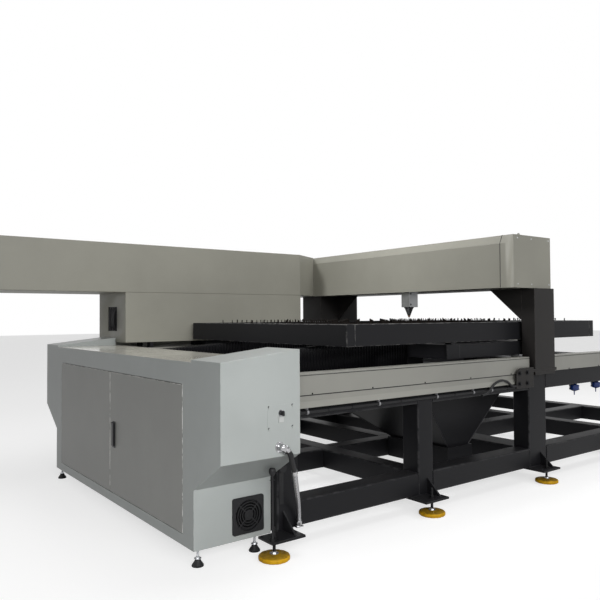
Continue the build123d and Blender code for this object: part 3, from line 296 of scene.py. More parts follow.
def merged(node):
    """A CAD node's loose triangles, merged one closed solid at a time."""
    form = bmesh.new()
    form.from_mesh(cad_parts[node].data)
    open_edges, shell = set(), []
    last = form.faces[:][-1]
    for face in form.faces[:]:
        shell.append(face)
        spots = [tuple(corner.vert.co) for corner in face.loops]
        for pair in zip(spots, spots[1:] + spots[:1]):
            open_edges ^= {frozenset(pair)}
        if not open_edges or face == last:
            corners = ordered(vert for part in shell for vert in part.verts)
            bmesh.ops.remove_doubles(form, verts=corners, dist=2e-5)
            shell = []
    return form


def rounded(form, edges, radius, segments=3):
    """Rounds edges by a radius in metres. Returns the faces of the rounding."""
    return bmesh.ops.bevel(
        form, geom=edges, offset=radius, offset_type="OFFSET", segments=segments,
        profile=0.5, affect="EDGES", clamp_overlap=False, material=-1,
    )["faces"]


def dressed(node, width, material, body="machine", along=None, segments=2):
    """A CAD node, its edges broken by a width in metres: all, or those along an axis."""
    form = merged(node)
    bmesh.ops.dissolve_limit(
        form, angle_limit=radians(0.6), verts=form.verts, edges=form.edges,
    )
    mark = form.faces.layers.float.new("edge")
    if width:
        # A bevel can tear a face that has a notch or a hole, so those are split first.
        bmesh.ops.connect_verts_concave(form, faces=form.faces[:])
        corners = []
        for edge in form.edges:
            if len(edge.link_faces) != 2 or edge.calc_face_angle(0.0) < radians(35):
                continue
            run = edge.verts[1].co - edge.verts[0].co
            if along is None or abs(run.normalized()["XYZ".index(along)]) > 0.999:
                corners.append(edge)
        for face in rounded(form, corners, width, segments):
            longest = max(edge.calc_length() for edge in face.edges)
            if face.calc_area() < 1.3 * width * longest:
                face[mark] = 1.0
    obj = piece(f"{node}_finished", form, material, body)
    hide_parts(node)
    return obj


def rod(form, start, end, radius, segments=8, taper=1.0):
    """Adds a round bar between two points, its end narrowed by taper."""
    start, end = Vector(start), Vector(end)
    run = end - start
    turn = run.to_track_quat("Z", "Y").to_matrix().to_4x4()
    place = Matrix.Translation((start + end) / 2) @ turn
    return bmesh.ops.create_cone(
        form, cap_ends=True, segments=segments, radius1=radius, radius2=radius * taper,
        depth=run.length, matrix=place,
    )["verts"]


def welded(name, seams, radius, material, body="machine"):
    """Rippled weld beads along straight seams, each a pair of points."""
    form = bmesh.new()
    for start, end in seams:
        rod(form, start, end, radius, 6)
    return piece(name, form, material, body, 60.0)


charcoal = enamel("charcoal_enamel", (0.011, 0.011, 0.0125), (0.05, 0.05, 0.052),
                  (0.024, 0.023, 0.022), 0.44, gloss=0.12)
tube_corner = 0.009             # the tubes' rolled corner
for node, along in (("posts", "Z"), ("bottom_rails", "X"), ("top_rails", "X"),
                    ("guide_beams", "X"), ("cross_tubes", "Y")):
    dressed(node, tube_corner, charcoal, along=along, segments=3)

bed_left, bed_right = -1.690, 2.695
bed_bottom, bed_side = 0.093, 1.071
post_spans = [(bed_left, -1.565), (-0.707, -0.582), (0.378, 0.580), (1.600, 1.725),
              (2.570, bed_right)]
tube_levels = [(bed_bottom, 0.218), (0.612, 0.737)]
bed_faces = [(-bed_side, -0.946), (0.946, bed_side)]
seams = []
for first, second in zip(post_spans, post_spans[1:]):
    for x in (first[1], second[0]):
        for near, far in bed_faces:
            for low, high in tube_levels:
                for y in (near, far):
                    seams.append(((x, y, low + tube_corner), (x, y, high - tube_corner)))
                inner = high if low < 0.3 else low
                seams.append(((x, near + tube_corner, inner),
                              (x, far - tube_corner, inner)))
for left, right in post_spans:
    for y in (-0.946, 0.946):
        for low, high in tube_levels:
            for x in (left, min(right, 2.691)):
                seams.append(((x, y, low + tube_corner), (x, y, high - tube_corner)))
bead = enamel("painted_weld", (0.012, 0.012, 0.014), (0.05, 0.05, 0.052),
              (0.024, 0.023, 0.022), 0.38, gloss=0.2, peel=0.0008)
welded("frame_welds", seams, 0.0032, bead)


# Guideways
# Two profiled steel rails, ground bright on their running faces and screwed to
# their guide beams, one on each side of the drive screw.

def steel(name, shade, roughness, grind, lay=None):
    """Bare steel with its grinding lay and a film of oil."""
    material, shader, place = surface(name, roughness, 1.0)
    cloud = step(grain(place, 9.0, 4.0), 0.35, 0.7)
    lines = grain(place, grind, 2.0, lay)
    between(cloud, [part * 0.86 for part in shade], shade).join(shader, "Base Color")
    (roughness - 0.06 + cloud * 0.08 + lines * 0.1).join(shader, "Roughness")
    raised(place, lines, 0.00006).join(shader, "Normal")
    return material


rail_steel = steel("ground_rail_steel", (0.50, 0.50, 0.51), 0.28, 60.0, (0.15, 30.0, 30.0))
dressed("linear_rails", 0.0008, rail_steel)


# Machine pads
# Round pads of mustard-yellow moulded rubber under threaded studs. Each stud
# goes through a welded bracket plate and is locked by a nut above it and below.

def moulded(name, shade, roughness, bump, faded=None, coat=0.0, gloss=0.25):
    """Moulded rubber or plastic with a fine matt skin."""
    material, shader, place = surface(name, roughness, 0.0, gloss)
    shader.inputs["Coat Weight"].default_value = coat
    cloud = step(grain(place, 14.0, 4.0), 0.3, 0.72)
    pale = faded or [part * 1.25 for part in shade]
    between(cloud * 0.6, shade, pale).join(shader, "Base Color")
    (roughness - 0.05 + cloud * 0.1).join(shader, "Roughness")
    raised(place, grain(place, 700.0, 2.0), bump).join(shader, "Normal")
    return material


def points_in(items):
    return [item for item in items if isinstance(item, bmesh.types.BMVert)]


def turned(form, profile, centre, axis="Z", steps=32):
    """Adds a shape turned about an axis from (radius, height) points in metres."""
    towards = {"X": (1, 0, 0), "Y": (0, 1, 0), "Z": (0, 0, 1), "-Y": (0, -1, 0)}[axis]
    turn = Vector(towards).to_track_quat("Z", "Y").to_matrix().to_4x4()
    place = Matrix.Translation(centre) @ turn
    points = [form.verts.new((radius, 0.0, height)) for radius, height in profile]
    lines = [form.edges.new(pair) for pair in zip(points, points[1:])]
    swept = bmesh.ops.spin(
        form, geom=points + lines, axis=(0, 0, 1), cent=(0, 0, 0), angle=2 * pi,
        steps=steps, use_merge=True,
    )
    made = ordered(vert for item in points_in(points + swept["geom_last"]) if item.is_valid
                   for vert in island(item))
    bmesh.ops.remove_doubles(form, verts=made, dist=1e-6)
    made = [vert for vert in made if vert.is_valid]
    bmesh.ops.transform(form, matrix=place, verts=made)
    faces = ordered(face for vert in made for face in vert.link_faces)
    bmesh.ops.recalc_face_normals(form, faces=faces)
    return made


def island(vert):
    """All the points joined to one by edges."""
    found, front = {vert: None}, [vert]
    while front:
        for edge in front.pop().link_edges:
            for other in edge.verts:
                if other not in found:
                    found[other] = None
                    front.append(other)
    return list(found)


def bolted(form, place, normal, flats, height):
    """Adds a washer and a hexagon head, standing on a face along its normal."""
    place, normal = Vector(place), Vector(normal)
    rod(form, place, place + normal * height * 0.18, flats * 0.98, 16)
    shank = place + normal * height * 0.85
    rod(form, place + normal * height * 0.18, shank, flats * 0.577, 6)
    rod(form, shank, place + normal * height, flats * 0.577, 6, 0.82)


yellow, yellow_shader, place = surface("mustard_rubber", 0.5, 0.0, 0.15)
grime = step(grain(place, 30.0, 5.0), 0.35, 0.7)
facing = place.node("ShaderNodeNewGeometry", output="Normal")
upward = step(facing.node("ShaderNodeSeparateXYZ", None, {"Vector": facing}, 2), 0.75, 0.95)
skin = between(grime, (0.62, 0.34, 0.008), (0.52, 0.28, 0.012))
dusty = between(upward * (0.45 + grime * 0.4), skin, (0.16, 0.105, 0.018))
dusty.join(yellow_shader, "Base Color")
(0.42 + grime * 0.2).join(yellow_shader, "Roughness")
raised(place, grain(place, 350.0, 3.0), 0.0006).join(yellow_shader, "Normal")

pad_spots = [(x, side * 1.146) for x in (-1.761, -0.682, 0.455, 1.640, 2.615)
             for side in (-1, 1)]
pad_steps, pad_notches = 60, 12
pad_profile = [(0.0, 0.0), (0.069, 0.0), (0.074, 0.004), (0.074, 0.015), (0.0705, 0.0205),
               (0.058, 0.0235), (0.034, 0.0245), (0.030, 0.028), (0.0, 0.028)]
pads = bmesh.new()
for x, y in pad_spots:
    rim = turned(pads, pad_profile, (x, y, 0.0), steps=pad_steps)
    for vert in rim:
        out = Vector((vert.co.x - x, vert.co.y - y))
        if out.length < 0.05:
            continue
        place_round = round(out.angle_signed(Vector((1, 0))) / (2 * pi) * pad_steps)
        if place_round % (pad_steps // pad_notches) == 0:
            vert.co.x = x + out.x * 0.965
            vert.co.y = y + out.y * 0.965
pads = piece("pads_moulded", pads, yellow, "machine", 50.0)
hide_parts("machine_pads")

black_steel = enamel("black_paint", (0.008, 0.008, 0.009), (0.06, 0.06, 0.06),
                     (0.022, 0.022, 0.021), 0.38, gloss=0.15)
thread = [(0.0, 0.028), (0.008, 0.028)]
for turn in range(28):
    thread += [(0.0068, 0.030 + turn * 0.0042), (0.008, 0.032 + turn * 0.0042)]
thread += [(0.0068, 0.1485), (0.0, 0.1500)]
studs = bmesh.new()
collars = bmesh.new()
for x, y in pad_spots:
    turned(studs, thread, (x, y, 0.0), steps=12)
    bolted(studs, (x, y, bed_bottom), (0, 0, 1), 0.024, 0.015)
    bolted(studs, (x, y, 0.081), (0, 0, -1), 0.024, 0.015)
    bolted(collars, (x, y, 0.0275), (0, 0, 1), 0.022, 0.010)
studs = piece("studs_threaded", studs, black_steel, "machine")
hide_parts("pad_studs")
zinc = steel("bright_zinc", (0.60, 0.61, 0.63), 0.34, 160.0)
piece("stud_collars", collars, zinc, "machine")
dressed("pad_brackets", 0.0015, charcoal)
bracket_seams = []
for x, y in pad_spots:
    side = 1 if y > 0 else -1
    start = max(x, -1.706) - 0.09
    end = min(start + 0.185, 2.689)
    start = max(start, bed_left)
    bracket_seams.append(((start, side * bed_side, bed_bottom),
                          (end, side * bed_side, bed_bottom)))
welded("bracket_welds", bracket_seams, 0.004, bead)


# Rail covers
# Folded steel sheet in light beige-grey enamel along both sides of the bed, with
# a bead under its top edge. On the left run it ends in a flared skirt.

def folded(form, section, span, sheet, radius):
    """Adds a strip of sheet along X from (y, z) fold points, its folds rounded."""
    earlier = set(form.faces)
    points = [form.verts.new((span[0], y, z)) for y, z in section]
    lines = [form.edges.new(pair) for pair in zip(points, points[1:])]
    drawn = bmesh.ops.extrude_edge_only(form, edges=lines)["geom"]
    bmesh.ops.translate(form, verts=points_in(drawn), vec=(span[1] - span[0], 0, 0))
    faces = [item for item in drawn if isinstance(item, bmesh.types.BMFace)]
    bmesh.ops.recalc_face_normals(form, faces=faces)
    folds = [edge for edge in ordered(edge for face in faces for edge in face.edges)
             if len(edge.link_faces) == 2]
    rounded(form, folds, radius)
    wall = [face for face in form.faces if face not in earlier]
    bmesh.ops.solidify(form, geom=wall, thickness=sheet)


cover_coat = enamel("cover_enamel", (0.27, 0.268, 0.242), (0.42, 0.41, 0.38),
                    (0.36, 0.35, 0.31), 0.34)
cover_face = -1.086
cover_runs = [(bed_left, 0.368), (0.651, bed_right)]
cover_section = [(-1.012, 0.837), (cover_face, 0.837), (cover_face, 0.829),
                 (-1.0835, 0.8265), (cover_face, 0.824), (cover_face, 0.7295),
                 (-1.0715, 0.7295)]
cover = bmesh.new()
for run in cover_runs:
    folded(cover, cover_section, run, 0.0015, 0.0010)
cover = piece("near_cover_folded", cover, cover_coat, "machine")
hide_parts("rail_cover_near")
skirt = bmesh.new()
folded(skirt, [(-1.0715, 0.7285), (-1.083, 0.7285), (-1.083, 0.697), (-1.099, 0.668)],
       cover_runs[0], 0.003, 0.0015)
skirt = piece("near_skirt_folded", skirt, cover_coat, "machine")
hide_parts("rail_skirt_near")
dressed("rail_cover_far", 0.0008, cover_coat)

jacket = moulded("cable_jacket", (0.010, 0.010, 0.011), 0.5, 0.0001)
# Black strips in the bead under the top edge and in the seam over the skirt: dark sheet
# that stands for the painted shade in these gaps.
gap_shade_strips = bmesh.new()
rod(gap_shade_strips, (bed_left, -1.0840, 0.7275), (0.368, -1.0840, 0.7275), 0.0030)
for run in cover_runs:
    rod(gap_shade_strips, (run[0], -1.0843, 0.8265), (run[1], -1.0843, 0.8265), 0.0022)
piece("cover_gap_shade_strips", gap_shade_strips, jacket, "machine")
screws = bmesh.new()
for run in cover_runs:
    count = round((run[1] - run[0]) / 0.42)
    for i in range(count):
        x = run[0] + (run[1] - run[0]) * (i + 0.5) / count
        rod(screws, (x, cover_face, 0.7345), (x, -1.0888, 0.7345), 0.0045, 12, 0.72)
piece("cover_screws", screws, black_steel, "machine")


# Bellows
# Folded gaiters of black coated cloth over both guideways, clipped to a plate on
# the bed at one end and to the carriage at the other.

def drawn_on(form, edges):
    """Extrudes a line of edges. Returns the new points and the new edges."""
    drawn = bmesh.ops.extrude_edge_only(form, edges=edges)["geom"]
    points = points_in(drawn)
    edges = [item for item in drawn if isinstance(item, bmesh.types.BMEdge)
             and all(vert in points for vert in item.verts)]
    return points, edges


cloth = moulded("gaiter_cloth", (0.004, 0.004, 0.005), 0.42, 0.0001, gloss=0.1)
pleats = 58
pleat_waist = 0.80              # a valley's width as a share of a ridge's
gaiter_foot = 0.782
gaiter_span = (-1.680, -0.345)
pitch = (gaiter_span[1] - gaiter_span[0]) / (2 * pleats)
gaiters = bmesh.new()
for y in (-0.586, 0.374):
    arch = [(-0.052, gaiter_foot), (-0.052, 0.890), (-0.040, 0.905), (0.040, 0.905),
            (0.052, 0.890), (0.052, gaiter_foot)]
    points = [gaiters.verts.new((gaiter_span[0], y + across, z)) for across, z in arch]
    edges = [gaiters.edges.new(pair) for pair in zip(points, points[1:])]
    for i in range(2 * pleats):
        points, edges = drawn_on(gaiters, edges)
        size = pleat_waist if i % 2 == 0 else 1 / pleat_waist
        bmesh.ops.scale(gaiters, verts=points, vec=(1, size, (0.75 + size / 4)),
                        space=Matrix.Translation((0, -y, -gaiter_foot)))
        bmesh.ops.translate(gaiters, verts=points, vec=(pitch, 0, 0))
bmesh.ops.recalc_face_normals(gaiters, faces=gaiters.faces)
gaiters = piece("gaiters_pleated", gaiters, cloth, None, 30.0)
thickness = gaiters.modifiers.new("cloth", "SOLIDIFY")
thickness.thickness = 0.0012
thickness.offset = -1.0
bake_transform(gaiters)
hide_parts("bellows")
dressed("bellows_stands", 0.0008, charcoal)


# Hopper and its outlet
# Tapered hopper of folded sheet with welded corners, bolted up under the upper
# rails by its rim, over an open box that the waste tray slides into.

dressed("hopper", 0.0008, charcoal)
dressed("hopper_outlet", 0.0008, charcoal)
rim_underside = 0.606
hopper_seams = []
for side in (-1, 1):
    for top, low in ((-0.850, -0.776), (0.500, -0.260)):
        hopper_seams.append(((side * 0.400, top, rim_underside),
                             (side * 0.105, low, 0.243)))
welded("hopper_welds", hopper_seams, 0.0035, bead)
rim_bolts = bmesh.new()
for i in range(9):
    x = -0.36 + i * 0.09
    for y in (-0.863, 0.513):
        bolted(rim_bolts, (x, y, rim_underside), (0, 0, -1), 0.013, 0.008)
for i in range(14):
    y = -0.80 + i * 0.096
    for x in (-0.413, 0.413):
        bolted(rim_bolts, (x, y, rim_underside), (0, 0, -1), 0.013, 0.008)
piece("hopper_bolts", rim_bolts, zinc, "machine")


# Side cable and its clips
# Corrugated cable conduit along the near upper rail, held by zinc-plated P-clips,
# and a thinner cable that rises beside it in an arc to the gantry's foot.

def hose(form, corners, radius, rib, pitch, sides=12):
    """Adds a ribbed hose along rounded corners: one ring, drawn on step by step."""
    corners = [Vector(corner) for corner in corners]
    path = [corners[0]]
    for before, corner, after in zip(corners, corners[1:], corners[2:]):
        reach = 0.45 * min((corner - before).length, (after - corner).length)
        start = corner + (before - corner).normalized() * reach
        end = corner + (after - corner).normalized() * reach
        for share in (i / 8 for i in range(9)):
            path.append(start.lerp(corner, share).lerp(corner.lerp(end, share), share))
    path.append(corners[-1])
    spots, left_over = [path[0]], 0.0
    for first, second in zip(path, path[1:]):
        run = second - first
        reach = pitch / 2 - left_over
        while reach <= run.length:
            spots.append(first + run.normalized() * reach)
            reach += pitch / 2
        left_over = run.length - reach + pitch / 2
    heading = (spots[1] - spots[0]).normalized()
    turn = heading.to_track_quat("Z", "Y").to_matrix().to_4x4()
    ring = bmesh.ops.create_circle(form, segments=sides, radius=radius,
                                   matrix=Matrix.Translation(spots[0]) @ turn)["verts"]
    edges = ordered(edge for vert in ring for edge in vert.link_edges)
    made, ends = list(ring), [edges]
    for i, (here, there) in enumerate(zip(spots, spots[1:])):
        ahead = (there - here).normalized()
        ring, edges = drawn_on(form, edges)
        size = rib if i % 2 == 0 else 1 / rib
        bmesh.ops.rotate(form, verts=ring, cent=here,
                         matrix=heading.rotation_difference(ahead).to_matrix())
        bmesh.ops.scale(form, verts=ring, vec=(size, size, size),
                        space=Matrix.Translation(-here))
        bmesh.ops.translate(form, verts=ring, vec=there - here)
        heading = ahead
        made += ring
    for loop in ends + [edges]:
        bmesh.ops.edgeloop_fill(form, edges=loop)
    faces = ordered(face for vert in made for face in vert.link_faces)
    bmesh.ops.recalc_face_normals(form, faces=faces)


cable_y, cable_z = -1.082, 0.645
cable = bmesh.new()
hose(cable, [(x, cable_y, cable_z) for x in (-1.565, -0.6, 0.378)],
     0.0100, 0.86, 0.008, 14)
hose(cable, [(-0.170, -1.108, 0.622), (-0.105, -1.108, 0.636), (-0.045, -1.108, 0.688),
             (0.030, -1.108, 0.706), (0.095, -1.108, 0.690), (0.140, -1.108, 0.657),
             (0.182, -1.108, 0.655)], 0.0080, 0.90, 0.006, 12)
cable = piece("side_cables", cable, jacket, "machine", 40.0)
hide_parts("cable_bundle")
dull_zinc = steel("dull_zinc", (0.26, 0.26, 0.27), 0.42, 160.0)
dressed("cable_clips", 0.0, dull_zinc)
clip_xs = [-1.516, -1.026, -0.560, -0.226, -0.045]
clip_screws = bmesh.new()
for x in clip_xs:
    bolted(clip_screws, (x, cable_y, 0.6612), (0, -1, 0), 0.008, 0.005)
piece("clip_screws", clip_screws, dull_zinc, "machine")
ties = bmesh.new()
for x in (-1.38, -1.22, -0.86, -0.40, 0.12, 0.28):
    turned(ties, [(0.0098, -0.0022), (0.0114, -0.0022), (0.0114, 0.0022), (0.0098, 0.0022),
                  (0.0098, -0.0022)], (x, cable_y, cable_z), "X", 16)
    rod(ties, (x - 0.003, -1.0925, 0.650), (x + 0.003, -1.0925, 0.650), 0.0032, 4)
piece("cable_ties", ties, jacket, "machine")


# Filter cups
# Two air filters screwed up under the near rail, of glossy dark blue plastic, each
# with two rings round its bowl.

cup_blue = moulded("blue_cup", (0.010, 0.030, 0.15), 0.2, 0.0001, (0.014, 0.045, 0.20), 0.3)
dressed("filter_cups", 0.0, cup_blue)
guards = bmesh.new()
for x in (1.053, 1.359):
    for z in (0.5645, 0.5905):
        turned(guards, [(0.033, -0.003), (0.0362, -0.003), (0.0362, 0.003), (0.033, 0.003),
                        (0.033, -0.003)], (x, -1.0085, z), "Z", 28)
piece("cup_rings", guards, cup_blue, "machine")


# Gantry columns and beam
# Welded box columns on base plates that are bolted to the bed, with triangular
# braces, and the box beam across them.

dark_coat = enamel("dark_gantry_enamel", (0.019, 0.0175, 0.0168), (0.06, 0.056, 0.052),
                   (0.026, 0.024, 0.022), 0.44, gloss=0.14)
dressed("near_column", 0.002, dark_coat)
dressed("far_column", 0.002, dark_coat)
dressed("gantry_beam", 0.003, dark_coat)
plate_top = 0.757
anchors = bmesh.new()
for x in (0.382, 0.637):
    for y in (-1.085, -1.035):
        bolted(anchors, (x, y, plate_top), (0, 0, 1), 0.014, 0.009)
for x in (0.44, 0.51, 0.58):
    bolted(anchors, (x, -0.996, plate_top), (0, 0, 1), 0.014, 0.009)
for x in (0.175, 0.635):
    for y in (0.96, 1.05, 1.14):
        bolted(anchors, (x, y, plate_top), (0, 0, 1), 0.014, 0.009)
for x in (0.215, 0.300):
    for z in (0.668, 0.738):
        bolted(anchors, (x, -1.116, z), (0, -1, 0), 0.018, 0.011)
piece("column_bolts", anchors, black_steel, "machine")


# Beam cover
# The long folded cover over the gantry beam and its rounded end cap, in the
# housing's grey-beige enamel, with a rubber seal between them.

housing_coat = enamel("housing_enamel", (0.27, 0.265, 0.225), (0.40, 0.39, 0.35),
                      (0.33, 0.325, 0.28), 0.5)
dressed("beam_cover", 0.0008, housing_coat)
dressed("beam_end_cap", 0.0, housing_coat)
outline = [(0.165, 1.302), (0.165, 1.596), (0.191, 1.652), (0.616, 1.652), (0.616, 1.302)]
cap_joint_y = -1.012
cover_seal = bmesh.new()
for (x, z), (next_x, next_z) in zip(outline, outline[1:]):
    rod(cover_seal, (x, cap_joint_y, z), (next_x, cap_joint_y, next_z), 0.0022, 6)
piece("cover_seal", cover_seal, jacket, "machine")
cap_screws = bmesh.new()
for x in (0.235, 0.39, 0.595):
    for z in (1.325, 1.630):
        rod(cap_screws, (x, -1.099, z), (x, -1.1015, z), 0.0045, 12, 0.7)
piece("cap_screws", cap_screws, zinc, "machine")


# Head drive and cutting head
# A carriage plate on ball blocks, driven along the beam by a ground screw, and
# the focusing head that slides on it with its cone and copper nozzle.

black_block = moulded("black_block", (0.018, 0.018, 0.02), 0.42, 0.0001)
alloy = steel("satin_aluminium", (0.42, 0.43, 0.44), 0.36, 120.0, (1.0, 8.0, 1.0))
copper = steel("machined_copper", (0.72, 0.40, 0.25), 0.28, 200.0)
dressed("head_rails", 0.0006, rail_steel)
dressed("head_screw", 0.0, rail_steel, "head_screw")
dressed("head_supports", 0.001, black_block)
dressed("head_carriage", 0.001, alloy, "head")
dressed("z_slide", 0.001, alloy, "focus")
dressed("nozzle", 0.0, copper, "focus")
barrel = bmesh.new()
lens_ring = [(0.034, 0.0), (0.0385, 0.0), (0.0385, 0.003), (0.0365, 0.005),
             (0.0385, 0.007), (0.0385, 0.010), (0.034, 0.010), (0.034, 0.0)]
tip_ring = [(0.010, 0.0), (0.0135, 0.001), (0.0135, 0.006), (0.011, 0.008), (0.010, 0.0)]
turned(barrel, lens_ring, (0.250, -0.106, 1.178), "Z", 40)
turned(barrel, tip_ring, (0.250, -0.106, 1.1215), "Z", 24)
for side in (-1, 1):
    for z in (1.205, 1.290):
        bolted(barrel, (0.225, -0.106 + side * 0.044, z), (0, side, 0), 0.008, 0.004)
piece("lens_barrel", barrel, black_block, "focus")


# Laser housing
# Long housing of folded sheet along the far side, on feet on the bed, with a strip
# of sheet under its lower box. The box's end has an opening for cables, filled by
# strips of black rubber as painted shade of its inside, with three cables hanging through.

def prism(form, outline, low, high):
    """Adds an upright prism over a plan of (x, y) points."""
    base = form.faces.new([form.verts.new((x, y, low)) for x, y in outline])
    drawn = bmesh.ops.extrude_face_region(form, geom=[base])["geom"]
    lid = points_in(drawn)
    bmesh.ops.translate(form, verts=lid, vec=(0, 0, high - low))
    faces = ordered([face for vert in lid for face in vert.link_faces] + [base])
    bmesh.ops.recalc_face_normals(form, faces=faces)


panel_corner = 0.004
housing_near, housing_far = 0.814, 1.3485
upper = bmesh.new()
prism(upper, [(-2.695, housing_near), (-0.125, housing_near), (0.165, 0.994),
              (0.165, housing_far), (-2.695, housing_far)], 1.300, 1.652)
rounded(upper, upper.edges[:], panel_corner)
upper = piece("housing_upper", upper, housing_coat, "machine")
lower = bmesh.new()
prism(lower, [(-1.693, housing_near), (-0.120, housing_near), (-0.120, housing_far),
              (-1.693, housing_far)], 0.937, 1.300)
rounded(lower, [edge for edge in lower.edges
                if min(vert.co.z for vert in edge.verts) < 1.2], panel_corner)
inlet_y, inlet_z = (0.979, 1.159), (1.018, 1.198)


def end_faces():
    return [face for face in lower.faces if face.calc_center_median().x < -1.6929]


for place, lay in [((0, y, 0), (0, 1, 0)) for y in inlet_y] + [
        ((0, 0, z), (0, 0, 1)) for z in inlet_z]:
    end = end_faces()
    around = ordered([item for face in end for item in (face, *face.edges, *face.verts)])
    bmesh.ops.bisect_plane(lower, geom=around, plane_co=place, plane_no=lay, dist=1e-5)
hole = []
for face in end_faces():
    middle = face.calc_center_median()
    if inlet_y[0] < middle.y < inlet_y[1] and inlet_z[0] < middle.z < inlet_z[1]:
        hole.append(face)
bmesh.ops.delete(lower, geom=hole, context="FACES")
lower = piece("housing_lower", lower, housing_coat, "machine")
wall = lower.modifiers.new("sheet", "SOLIDIFY")
wall.thickness = 0.004
wall.offset = -1.0
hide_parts("laser_housing")
dressed("laser_source", 0.002, alloy)
dressed("housing_feet", 0.002, charcoal)


def slab(form, centre, size, radius):
    """Adds a rectangular block with rounded edges."""
    place = Matrix.Translation(centre) @ Matrix.Diagonal((*size, 1.0))
    corners = bmesh.ops.create_cube(form, size=1.0, matrix=place)["verts"]
    rounded(form, ordered(edge for vert in corners for edge in vert.link_edges), radius, 2)


apron = bmesh.new()
folded(apron, [(1.0700, 0.9365), (1.0700, 0.8980), (1.0560, 0.8980)], (-1.690, -0.123),
       0.0015, 0.001)
piece("housing_apron", apron, cover_coat, "machine")
rubber_black = moulded("black_rubber", (0.010, 0.010, 0.011), 0.55, 0.0002)
# Black rubber strips across the cable opening: dark sheet that stands for the painted shade
# inside the box. The three cables hang through them.
shade_curtain = bmesh.new()
for i in range(8):
    slab(shade_curtain, (-1.6865 + 0.0016 * (i % 2), 0.985 + i * 0.0240, 1.108),
         (0.0022, 0.0250, 0.196), 0.0007)
for y, radius in ((1.030, 0.011), (1.058, 0.008), (1.100, 0.012)):
    hose(shade_curtain, [(-1.682, y, 1.190), (-1.6985, y, 1.150), (-1.6985, y + 0.004, 1.060),
                   (-1.680, y + 0.006, 1.026)], radius, 1.0, 0.012, 14)
piece("inlet_shade_curtain", shade_curtain, rubber_black, "machine", 50.0)
panel_lines = bmesh.new()
for x, low, high in ((-1.885, 1.306, 1.646), (-0.85, 1.306, 1.646),
                     (-1.17, 0.943, 1.300), (-0.64, 0.943, 1.300)):
    rod(panel_lines, (x, 1.3487, low), (x, 1.3487, high), 0.0012, 6)
piece("housing_joints", panel_lines, jacket, "machine")
housing_screws = bmesh.new()
for xs, zs in (([-2.62 + i * 0.245 for i in range(12)], (1.325, 1.630)),
               ((-1.62, -1.24, -1.10, -0.71, -0.57, -0.19), (0.965, 1.275))):
    for x in xs:
        for z in zs:
            rod(housing_screws, (x, housing_far, z), (x, 1.351, z), 0.0045, 12, 0.7)
piece("housing_screws", housing_screws, zinc, "machine")


# Electrical cabinet
# Welded sheet cabinet in fine grey enamel: stepped ends, sloping wings, a flat
# lid between them and two folded doors on pivot pins, their enamel darkened as
# painted shade and their edges painted pale as wear and painted highlights.

cabinet_coat = enamel("cabinet_enamel", (0.40, 0.425, 0.415), (0.58, 0.59, 0.58),
                      (0.42, 0.43, 0.41), 0.34, 0.5, gloss=0.3)
# Darker than the cabinet's enamel as painted shade of the cabinet's front; its pale edges
# are wear and painted highlights.
door_coat_shade_and_highlight = enamel("door_enamel_shade_and_highlight", (0.31, 0.312, 0.295), (0.80, 0.80, 0.77),
                   (0.38, 0.38, 0.36), 0.36, 1.0, gloss=0.25)
lid_coat = enamel("lid_enamel", (0.60, 0.585, 0.52), (0.66, 0.65, 0.60),
                  (0.58, 0.565, 0.505), 0.13, 0.4)
dressed("cabinet_shell", 0.0015, cabinet_coat)
dressed("cabinet_lid", 0.001, lid_coat)
dressed("door_near", 0.0022, door_coat_shade_and_highlight, "door_near")
dressed("door_far", 0.0022, door_coat_shade_and_highlight, "door_far")
dressed("door_pins", 0.0, zinc)
dressed("mounting_plate", 0.0, zinc)
grey_case = moulded("grey_module", (0.22, 0.23, 0.24), 0.5, 0.0001)
dressed("electrical_modules", 0.001, grey_case)


# Door lock
# Black swing-lever lock on the near door: a flat case with two ears, and a lever
# that swings on a cross pin between them.

dressed("lock_plate", 0.0005, black_block, "door_near")
dressed("lock_lever", 0.0008, black_block, "lock_lever")


# Cabinet feet
# Bell-shaped moulded rubber feet with a ribbed skirt, on zinc-plated levelling
# stems that screw up into the cabinet's base.

foot_spots = [(x, y) for x in (-2.078, -1.775) for y in (-1.000, 1.000)]
bell = [(0.0, 0.0), (0.027, 0.0), (0.028, 0.003), (0.0262, 0.0045), (0.027, 0.007),
        (0.0250, 0.009), (0.0215, 0.015), (0.0165, 0.021), (0.0130, 0.029),
        (0.0115, 0.034), (0.0, 0.034)]
stem = [(0.0, 0.030), (0.006, 0.030)]
for turn in range(14):
    stem += [(0.0051, 0.0345 + turn * 0.0028), (0.006, 0.0359 + turn * 0.0028)]
stem += [(0.006, 0.0738), (0.0, 0.0738)]
feet, stems = bmesh.new(), bmesh.new()
for x, y in foot_spots:
    turned(feet, bell, (x, y, 0.0), steps=36)
    turned(stems, stem, (x, y, 0.0), steps=14)
    bolted(stems, (x, y, 0.034), (0, 0, 1), 0.017, 0.009)
feet = piece("feet_moulded", feet, rubber_black, "machine")
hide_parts("cabinet_feet")
piece("foot_stems", stems, zinc, "machine")


# Cooling fan
# Axial fan behind a square moulded guard with fine rings and a round hub plate,
# screwed to the cabinet's end over a dark gasket.

dressed("fan_guard", 0.0004, rubber_black)
dressed("fan_frame", 0.0, black_block)
dressed("fan_impeller", 0.0, black_block, "fan")
gasket = bmesh.new()
turned(gasket, [(0.0650, -0.0030), (0.0657, -0.0030), (0.0657, 0.0), (0.0745, 0.0),
                (0.0745, 0.0012), (0.0650, 0.0012), (0.0650, -0.0030)],
       (-1.827, -1.023, 0.188), "-Y", 48)
piece("fan_gasket", gasket, rubber_black, "machine")


# Service plate and key switch
# A screwed cover plate flush on the cabinet's end, with the main key switch in a
# pale plastic plate.

